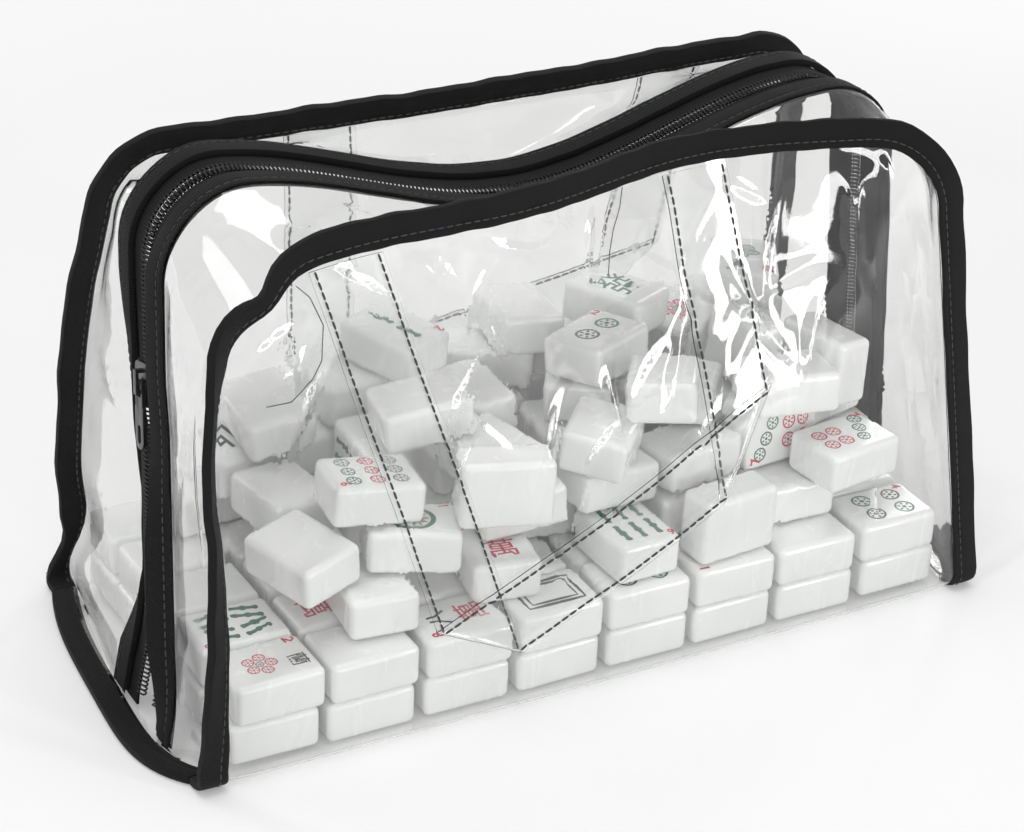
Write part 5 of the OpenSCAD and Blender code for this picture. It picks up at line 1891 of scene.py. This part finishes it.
@dataclass
class Stamps:
    """The small raised inks that the prints are made of, each one unit tall."""

    depth: float = 0.1
    shapes: dict[str, Shape] = field(default_factory=dict)

    def keep(self, name: str, obj: Object) -> Shape:
        """Keeps a modelled stamp under its name, at its own size."""
        shape = self.shapes[name] = Shape.of(obj)
        shape.points *= MM
        return shape

    def text(self, name: str, words: str, bold: float = 0.012) -> None:
        """Makes a stamp from one character.

        Args:
            name: The stamp's name.
            words: The character.
            bold: How far its strokes are thickened, as a share of its height.
        """
        curve = bpy.data.curves.new(name, "FONT")
        curve.body = words
        curve.size = 1.0
        curve.offset = bold
        curve.extrude = 0.5
        curve.resolution_u = 2
        curve.align_x = "CENTER"
        curve.align_y = "CENTER"
        obj = linked(name, curve)
        make_active(obj)
        bpy.ops.object.convert(target="MESH")
        shape = self.keep(name, bpy.context.object)
        low, high = shape.points.min(0), shape.points.max(0)
        shape.points[:, :2] -= ((low + high) / 2)[:2]
        shape.points[:, :2] /= max(high[1] - low[1], high[0] - low[0])

    def coin(self, name: str, petals: int, segments: int) -> None:
        """Makes a round stamp: a rim, a ring of petals and a hub.

        Args:
            name: The stamp's name.
            petals: The number of petals.
            segments: The number of sides of the rim.
        """
        deselect()
        bpy.ops.mesh.primitive_torus_add(
            major_segments=segments, minor_segments=4, major_radius=0.45, minor_radius=0.055
        )
        parts = [bpy.context.object]
        parts[0].scale = (1, 1, 9)
        bpy.ops.mesh.primitive_cylinder_add(vertices=6, radius=0.11, depth=1.0)
        parts.append(bpy.context.object)
        for k in range(petals):
            a = 2 * math.pi * k / petals
            at = (0.27 * math.cos(a), 0.27 * math.sin(a), 0)
            bpy.ops.mesh.primitive_cylinder_add(
                vertices=4, radius=0.5, depth=1.0, location=at, rotation=(0, 0, a)
            )
            bpy.context.object.scale = (0.22, 0.85 / petals, 1)
            parts.append(bpy.context.object)
        deselect()
        for obj in parts:
            obj.select_set(True)
        bpy.context.view_layer.objects.active = parts[0]
        bpy.ops.object.transform_apply(location=True, rotation=True, scale=True)
        bpy.ops.object.join()
        self.keep(name, bpy.context.object)

    def stick(self, name: str) -> None:
        """Makes one cane of bamboo: two waisted halves with a joint between."""
        deselect()
        bpy.ops.mesh.primitive_cube_add(size=1.0)
        obj = bpy.context.object
        obj.scale = (0.16, 1.0, 1.0)
        bpy.ops.object.transform_apply(scale=True)
        bpy.ops.object.mode_set(mode="EDIT")
        for y in (-0.42, -0.3, -0.12, -0.04, 0.04, 0.12, 0.3, 0.42):
            bpy.ops.mesh.select_all(action="SELECT")
            bpy.ops.mesh.bisect(plane_co=(0, y, 0), plane_no=(0, 1, 0))
        bpy.ops.object.mode_set(mode="OBJECT")
        wide = {0.5: 0.9, 0.42: 1.5, 0.3: 1.0, 0.12: 1.0, 0.04: 1.7}
        for v in obj.data.vertices:
            share = min(wide, key=lambda y: abs(abs(v.co.y) - y))
            v.co.x *= wide[share]
        self.keep(name, obj)

    def bar(self, name: str) -> None:
        """Makes a plain thin bar with drawn-in ends."""
        deselect()
        bpy.ops.mesh.primitive_cylinder_add(vertices=8, radius=0.5, depth=1.0, rotation=(0, 0, math.pi / 8))
        obj = bpy.context.object
        bpy.ops.object.transform_apply(rotation=True)
        obj.scale = (0.07, 1.0, 1.0)
        bpy.ops.object.transform_apply(scale=True)
        self.keep(name, obj)

    def build(self) -> "Stamps":
        """Makes all the stamps."""
        self.bar("bar")
        self.coin("coin", 6, 14)
        self.coin("wheel", 12, 32)
        self.stick("stick")
        for word in "123456789":
            self.text(f"digit_{word}", word, 0.02)
        for number, word in enumerate("一二三四五六七八九", start=1):
            self.text(f"count_{number}", word, 0.02)
        for name, word in {
            "ten_thousand": "萬", "east": "東", "south": "南", "west": "西", "north": "北",
            "centre": "中", "fortune": "發",
        }.items():
            self.text(name, word, 0.004)
        for number, word in enumerate("梅蘭菊竹春夏秋冬"):
            self.text(f"season_{number}", word, 0.004)
        return self


@dataclass(frozen=True)
class ShownFace:
    """A tile that lies face up in sight of the camera, by its place in millimetres."""

    suit: Suit
    place: tuple[float, float, float]
    number: int
    turned: bool = False


SHOWN_FACES = (
    ShownFace(Suit.CIRCLES, (113, -48, 58), 7),
    ShownFace(Suit.CIRCLES, (130, -54, 26), 4),
    ShownFace(Suit.CIRCLES, (33, 6, 93), 2),
    ShownFace(Suit.CIRCLES, (-66, -37, 58), 1),
    ShownFace(Suit.CIRCLES, (-78, -28, 76), 9, True),
    ShownFace(Suit.CIRCLES, (19, -54, 25), 4),
    ShownFace(Suit.BAMBOO, (-35, 39, 94), 2),
    ShownFace(Suit.BAMBOO, (-130, -27, 26), 8, True),
    ShownFace(Suit.BAMBOO, (19, -46, 42), 6),
    ShownFace(Suit.CHARACTERS, (-56, -54, 25), 8, True),
    ShownFace(Suit.CHARACTERS, (-32, -38, 42), 9),
    ShownFace(Suit.CHARACTERS, (-93, -27, 25), 5),
    ShownFace(Suit.FLOWERS, (-129, -54, 26), 2),
    ShownFace(Suit.FLOWERS, (86, 40, 77), 1, True),
    ShownFace(Suit.DRAGONS, (-18, -54, 25), 3),
)


@dataclass
class TileSet:
    """The loose tiles: where each one lies, its rounded body and its print."""

    stamps: Stamps
    length: float = 34.0
    width: float = 26.0
    thickness: float = 16.0
    round_r: float = 3.0
    ink_proud: float = 0.05
    face_up_share: float = 0.1

    def body(self) -> Shape:
        """One tile, rounded all over."""
        deselect()
        bpy.ops.mesh.primitive_cube_add(size=MM)
        obj = bpy.context.object
        obj.scale = (self.length, self.width, self.thickness)
        bpy.ops.object.transform_apply(scale=True)
        bevel = obj.modifiers.new("rounding", "BEVEL")
        bevel.width = self.round_r * MM
        bevel.segments = 5
        bevel.profile = 0.56
        bevel.limit_method = "NONE"
        apply_modifiers(obj)
        return Shape.of(obj)

    def poses(self, node: str) -> list[np.ndarray]:
        """Where the tiles of a solid lie.

        Args:
            node: The solid's name.

        Returns:
            A placing matrix for each tile, in millimetres, with its length along
            X, its width along Y and its face upwards along Z.
        """
        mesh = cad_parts[node].data
        mesh.calc_loop_triangles()
        points = np.array([v.co for v in mesh.vertices], float) / MM
        keys: dict[tuple[int, int, int], int] = {}
        same = [keys.setdefault(tuple(np.round(p * 200).astype(int)), len(keys)) for p in points]
        parent = list(range(len(keys)))

        def root(i: int) -> int:
            """The first point of the group that holds point i."""
            while parent[i] != i:
                parent[i] = parent[parent[i]]
                i = parent[i]
            return i

        triangles = [tuple(same[v] for v in t.vertices) for t in mesh.loop_triangles]
        for a, b, c in triangles:
            parent[root(a)] = root(b)
            parent[root(b)] = root(c)
        groups: dict[int, list[int]] = {}
        for number, t in enumerate(triangles):
            groups.setdefault(root(t[0]), []).append(number)
        where = {key: points[i] for i, key in enumerate(same)}
        return [self.pose([triangles[n] for n in numbers], where) for numbers in groups.values()]

    def pose(self, triangles: Sequence[tuple[int, int, int]], where: dict[int, Point]) -> np.ndarray:
        """The placing matrix of one tile from its triangles."""
        corners = np.array([[where[i] for i in t] for t in triangles])
        cross = np.cross(corners[:, 1] - corners[:, 0], corners[:, 2] - corners[:, 0])
        area = np.linalg.norm(cross, axis=1)
        axes: list[Point] = []
        left = area.copy()
        for _ in range(3):
            totals = []
            for k in range(len(area)):
                aligned = np.abs(cross @ cross[k]) > 0.9995 * area * area[k] + 1e-12
                totals.append(float(np.sum(left[aligned])))
            best = int(np.argmax(totals))
            axis = unit(cross[best])
            left[np.abs(cross @ axis) > 0.5 * area] = 0
            axes.append(axis)
        z, y = axes[0], axes[1]
        if z[2] < -0.05 or (abs(z[2]) <= 0.05 and z[1] > 0):
            z = -z
        y = unit(y - np.dot(y, z) * z)
        x = np.cross(y, z)
        if x[0] < 0:
            x, y = -x, -y
        flat = corners.reshape(-1, 3)
        at = sum(axis * (flat @ axis).min() / 2 + axis * (flat @ axis).max() / 2 for axis in (x, y, z))
        return placing(at, x, y, z)

    def print_for(self, suit: Suit, number: int) -> Print:
        """The print of one tile.

        Args:
            suit: The tile's suit.
            number: Its number in the suit, from 1.

        Returns:
            The print, for a face that is upright along the tile's length.
        """
        made = Print()
        if suit is Suit.CIRCLES:
            self.circles(made, number)
        elif suit is Suit.BAMBOO:
            self.canes(made, number)
        elif suit is Suit.CHARACTERS:
            made.add(f"count_{number}", 1.0, 7.0, 9.0, Ink.BLACK)
            made.add("ten_thousand", 1.0, -6.0, 11.5, Ink.RED)
            made.add(f"digit_{number}", -8.6, 11.6, 4.6, Ink.RED)
        elif suit is Suit.WINDS:
            made.add(("east", "south", "west", "north")[number - 1], 0.0, 0.0, 17.0, Ink.BLACK)
        elif suit is Suit.DRAGONS:
            self.dragon(made, number - 1)
        else:
            self.flower(made, number - 1)
        return made

    def circles(self, made: Print, count: int) -> None:
        """Lays out the round stamps of a circle tile."""
        if count == 1:
            made.add("wheel", 0, 0, 17.0, Ink.GREEN).add("coin", 0, 0, 8.5, Ink.RED)
        else:
            for x, y, size, ink in self.coin_layout(count):
                made.add("coin", x, y, size, ink)
        made.add(f"digit_{count}", -9.2, 12.4, 4.2, Ink.RED)

    def coin_layout(self, count: int) -> list[tuple[float, float, float, Ink]]:
        """Places, sizes and inks of the round stamps."""
        g, r, k = Ink.GREEN, Ink.RED, Ink.BLACK
        layouts = {
            2: [(0, 6.4, 9.4, g), (0, -6.4, 9.4, k)],
            3: [(-6, 8.6, 7.4, g), (0, 0, 7.4, r), (6, -8.6, 7.4, k)],
            4: [(x, y, 8.0, g if x * y > 0 else k) for x in (-5, 5) for y in (-6.6, 6.6)],
            5: [(x, y, 7.0, g if x * y > 0 else k) for x in (-5.6, 5.6) for y in (-8, 8)]
            + [(0, 0, 7.0, r)],
            6: [(x, 8.6, 6.6, g) for x in (-4.6, 4.6)]
            + [(x, y, 6.6, r) for x in (-4.6, 4.6) for y in (-1.4, -8.6)],
            7: [(-7 + 6 * step, 10.4 - 2.8 * step, 5.8, g) for step in range(3)]
            + [(x, y, 6.2, r) for x in (-3.8, 3.8) for y in (-3.2, -10.2)],
            8: [(x, y, 5.8, g if y > 0 else k) for x in (-4, 4) for y in (-10.2, -3.4, 3.4, 10.2)],
            9: [(x, y, 5.8, {8.6: g, 0.0: r}.get(y, k)) for x in (-7, 0, 7) for y in (-8.6, 0.0, 8.6)],
        }
        return layouts[count]

    def canes(self, made: Print, count: int) -> None:
        """Lays out the canes of a bamboo tile."""
        if count == 1:
            for k in range(5):
                a = k * 1.2566
                made.add("stick", 3.4 * math.sin(a), 3.4 * math.cos(a), 7.5, Ink.GREEN, -72 * k)
            made.add("coin", 0, 0, 4.4, Ink.RED)
        rows = {
            2: [(0, 6.6), (0, -6.6)],
            3: [(0, 6.6), (-5, -6.6), (5, -6.6)],
            4: [(x, y) for x in (-4.6, 4.6) for y in (-6.6, 6.6)],
            5: [(x, y) for x in (-6.4, 6.4) for y in (-6.6, 6.6)] + [(0, 0)],
            6: [(x, y) for x in (-6.6, 0, 6.6) for y in (-6.6, 6.6)],
            7: [(x, y) for x in (-6.6, 0, 6.6) for y in (-9, 0)] + [(0, 9.2)],
            8: [(x, y) for x in (-7.4, -2.5, 2.5, 7.4) for y in (-6.6, 6.6)],
            9: [(x, y) for x in (-6.6, 0, 6.6) for y in (-9.2, 0, 9.2)],
        }
        size = 8.2 if count in (7, 9) else 11.0
        for number, (x, y) in enumerate(rows.get(count, [])):
            lean = {8: 14 if x * y > 0 else -14}.get(count, 0)
            red = (count in (5, 7) and number == len(rows[count]) - 1) or (count == 9 and x == 0)
            made.add("stick", x, y, size, Ink.RED if red else Ink.GREEN, lean)
        made.add(f"digit_{count}", -10.2, 13.2, 4.0, Ink.RED)

    def dragon(self, made: Print, number: int) -> None:
        """Lays out a dragon tile: red centre, green fortune or the blank frame."""
        if number == 0:
            made.add("centre", 0, 0, 18.0, Ink.RED)
        elif number == 1:
            made.add("fortune", 0, 0, 17.0, Ink.GREEN)
        else:
            for wide, high in ((7.6, 11.4), (5.6, 9.2)):
                for x, y, turn in ((-wide, 0, 0), (wide, 0, 0), (0, high, 90), (0, -high, 90)):
                    made.add("bar", x, y, 2.2 * (high if turn == 0 else wide), Ink.BLACK, turn)

    def flower(self, made: Print, number: int) -> None:
        """Lays out a flower tile: a plain rosette, its word and its number."""
        ink = Ink.RED if number < 4 else Ink.GREEN
        for k in range(5):
            a = math.radians(72 * k)
            made.add("coin", 4.2 * math.sin(a) + 1, 4.2 * math.cos(a) - 3, 4.6, ink)
        made.add("coin", 1, -3, 3.2, Ink.BLACK)
        made.add(f"season_{number}", 3.5, 10.5, 7.0, Ink.BLACK)
        made.add(f"digit_{number % 4 + 1}", -9.2, 12.4, 4.2, Ink.RED)

    def dealt(self, suit: Suit, poses: Sequence[np.ndarray]) -> list[tuple[int, bool, bool]]:
        """Deals the suit's numbers to its tiles.

        Args:
            suit: The suit.
            poses: Where its tiles lie.

        Returns:
            For each tile its number, whether it lies face up and whether its
            print is turned round.
        """
        kinds = {Suit.WINDS: 4, Suit.DRAGONS: 3, Suit.FLOWERS: 8}.get(suit, 9)
        rng = random.Random(4 + list(Suit).index(suit))
        left = [1 + k % kinds for k in range(len(poses))]
        places = np.array([m[:3, 3] for m in poses])
        fixed: dict[int, tuple[int, bool, bool]] = {}
        for face in SHOWN_FACES:
            if face.suit is suit:
                nearest = int(np.argmin(np.linalg.norm(places - np.array(face.place), axis=1)))
                fixed[nearest] = (face.number, True, face.turned)
                left.remove(face.number)
        rng.shuffle(left)
        rest = iter(left)
        dealt = []
        for k in range(len(poses)):
            up, turned = rng.random() < self.face_up_share, rng.random() < 0.5
            dealt.append(fixed[k] if k in fixed else (next(rest), up, turned))
        return dealt

    def group(self, suit: Suit, finishes: Finishes) -> None:
        """Builds all the tiles of one suit.

        Args:
            suit: The suit.
            finishes: The materials.
        """
        body, bodies, inks = self.body(), CopyPool(), CopyPool()
        poses = self.poses(suit.value)
        log.info("%s: %d tiles", suit.value, len(poses))
        for m, (number, shown, turned) in zip(poses, self.dealt(suit, poses)):
            bodies.add(body, m)
            up = 1.0 if shown else -1.0
            spin = -1.0 if turned else 1.0
            # The print's x runs across the tile and its y along it.
            face = placing(
                m[:3, 3] + m[:3, 2] * up * self.thickness / 2,
                -m[:3, 1] * spin * up, m[:3, 0] * spin, m[:3, 2] * up,
            )
            for stamp, x, y, size, turn, ink in self.print_for(suit, number).parts:
                c, s = math.cos(math.radians(turn)) * size, math.sin(math.radians(turn)) * size
                local = np.eye(4)
                local[:2, :2] = [[c, -s], [s, c]]
                local[2, 2] = self.stamps.depth
                local[:3, 3] = (x, y, self.ink_proud - self.stamps.depth / 2)
                inks.add(self.stamps.shapes[stamp], face @ local, int(ink))
        name = suit.name.lower()
        tiles = bodies.build(f"tiles_{name}", 50)
        finish_piece(tiles, [finishes.tile], [suit.value])
        prints = inks.build(f"prints_{name}", 30)
        finish_piece(prints, finishes.inks)

    def build(self, finishes: Finishes) -> None:
        """Builds the whole set."""
        for suit in Suit:
            self.group(suit, finishes)


# ---- studio


@dataclass
class Studio:
    """The floor, the lamps and the camera."""

    azimuth: float = -30.1
    elevation: float = 28.5
    roll: float = -2.9
    distance: float = 1.0507
    target: tuple[float, float, float] = (-0.005333, 0.0, 0.075733)
    lens: float = 99.53

    def floor(self) -> None:
        """Builds the pale floor, which keeps the case's shadow."""
        deselect()
        bpy.ops.mesh.primitive_plane_add(size=30.0, location=(0, 0, -0.0003))
        obj = bpy.context.object
        obj.name = "floor"
        obj.data.materials.append(FloorPaper("floor_paper").build())

    def world(self) -> None:
        """Sets a pale world that is white where it is seen directly or through the film, and dimmer where it
        is mirrored.
        """
        world = bpy.data.worlds.new("studio")
        bpy.context.scene.world = world
        world.use_nodes = True
        world.node_tree.nodes.clear()
        s = Shader(world.node_tree)
        light = s.node("ShaderNodeLightPath")
        seen = s.math("MAXIMUM", light.outputs["Is Camera Ray"], light.outputs["Is Transmission Ray"])
        soft = s.node("ShaderNodeBackground", {"Color": (1.0, 1.0, 1.0, 1.0), "Strength": 0.42})
        white = s.node("ShaderNodeBackground", {"Color": (1.0, 1.0, 1.0, 1.0), "Strength": 1.0})
        both = s.node("ShaderNodeMixShader", {0: seen, 1: soft.outputs[0], 2: white.outputs[0]})
        out = s.node("ShaderNodeOutputWorld")
        s.tree.links.new(both.outputs[0], out.inputs["Surface"])

    def lamp(
        self, name: str, at: tuple[float, float, float], size: tuple[float, float], watts: float
    ) -> None:
        """Sets one soft lamp that points at the case.

        Args:
            name: The lamp's name.
            at: Its place, in metres.
            size: Its width and height, in metres.
            watts: Its power.
        """
        data = bpy.data.lights.new(name, "AREA")
        data.shape = "RECTANGLE"
        data.size, data.size_y = size
        data.energy = watts
        obj = linked(name, data)
        obj.location = at
        obj.rotation_mode = "QUATERNION"
        obj.rotation_quaternion = (Vector(at) - Vector((0, 0, 0.08))).to_track_quat("Z", "Y")

    def camera(self) -> None:
        """Sets the camera at the photographed angle."""
        a, e = math.radians(self.azimuth), math.radians(self.elevation)
        back = vec(math.sin(a) * math.cos(e), -math.cos(a) * math.cos(e), math.sin(e))
        right = unit(np.cross(-back, vec(0, 0, 1)))
        down = -np.cross(right, -back)
        r = math.radians(self.roll)
        x = right * math.cos(r) + down * math.sin(r)
        y = right * math.sin(r) - down * math.cos(r)
        at = vec(*self.target) + back * self.distance
        data = bpy.data.cameras.new("camera")
        data.lens = self.lens
        data.sensor_width = 36.0
        obj = linked("camera", data)
        obj.matrix_world = Matrix(placing(at, x, y, back).tolist())
        bpy.context.scene.camera = obj

    def build(self) -> None:
        """Sets up the whole studio."""
        self.floor()
        self.world()
        self.lamp("overhead", (-0.1, 0.05, 1.5), (1.1, 0.9), 9.6)
        self.lamp("front_fill", (-0.5, -1.3, 1.15), (0.8, 0.5), 3.2)
        self.lamp("front_right", (0.75, -1.25, 0.42), (0.16, 0.75), 5.0)
        self.lamp("front_left", (-1.35, -0.55, 0.7), (0.2, 0.7), 4.0)
        self.lamp("low_front", (0.15, -1.3, 0.2), (0.8, 0.06), 1.7)
        self.lamp("back_left", (-0.8, 1.2, 0.7), (0.22, 0.8), 2.4)
        self.lamp("back_right", (1.1, 0.9, 0.6), (0.2, 0.8), 2.4)
        self.camera()
        scene = bpy.context.scene
        scene.view_settings.view_transform = "Standard"
        scene.cycles.max_bounces = 26
        scene.cycles.transmission_bounces = 24
        scene.cycles.transparent_max_bounces = 40


def main() -> None:
    """Builds the case, its tiles and the studio, in order."""
    logging.basicConfig(level=logging.INFO, format="%(name)s: %(message)s")
    Studio().build()
    finishes = Finishes.build()
    outline = Outline()
    film = FilmBody(outline)
    film.build(finishes)
    for side in Side:
        FilmGusset(outline, side).build(finishes)
    Bindings(outline).build(finishes)
    Zip(outline).build(finishes)
    SliderParts().build(finishes)
    top = outline.height
    Strap(film, Side.FRONT, ((-100, top), (-56, 34), (56, 82), (44, top))).build(finishes)
    Strap(film, Side.BACK, ((-63, top), (-50, 60), (78, 86), (84, top))).build(finishes)
    ThreadTails(film).build(finishes)
    TileSet(Stamps().build()).build(finishes)


if __name__ == "__main__":
    main()
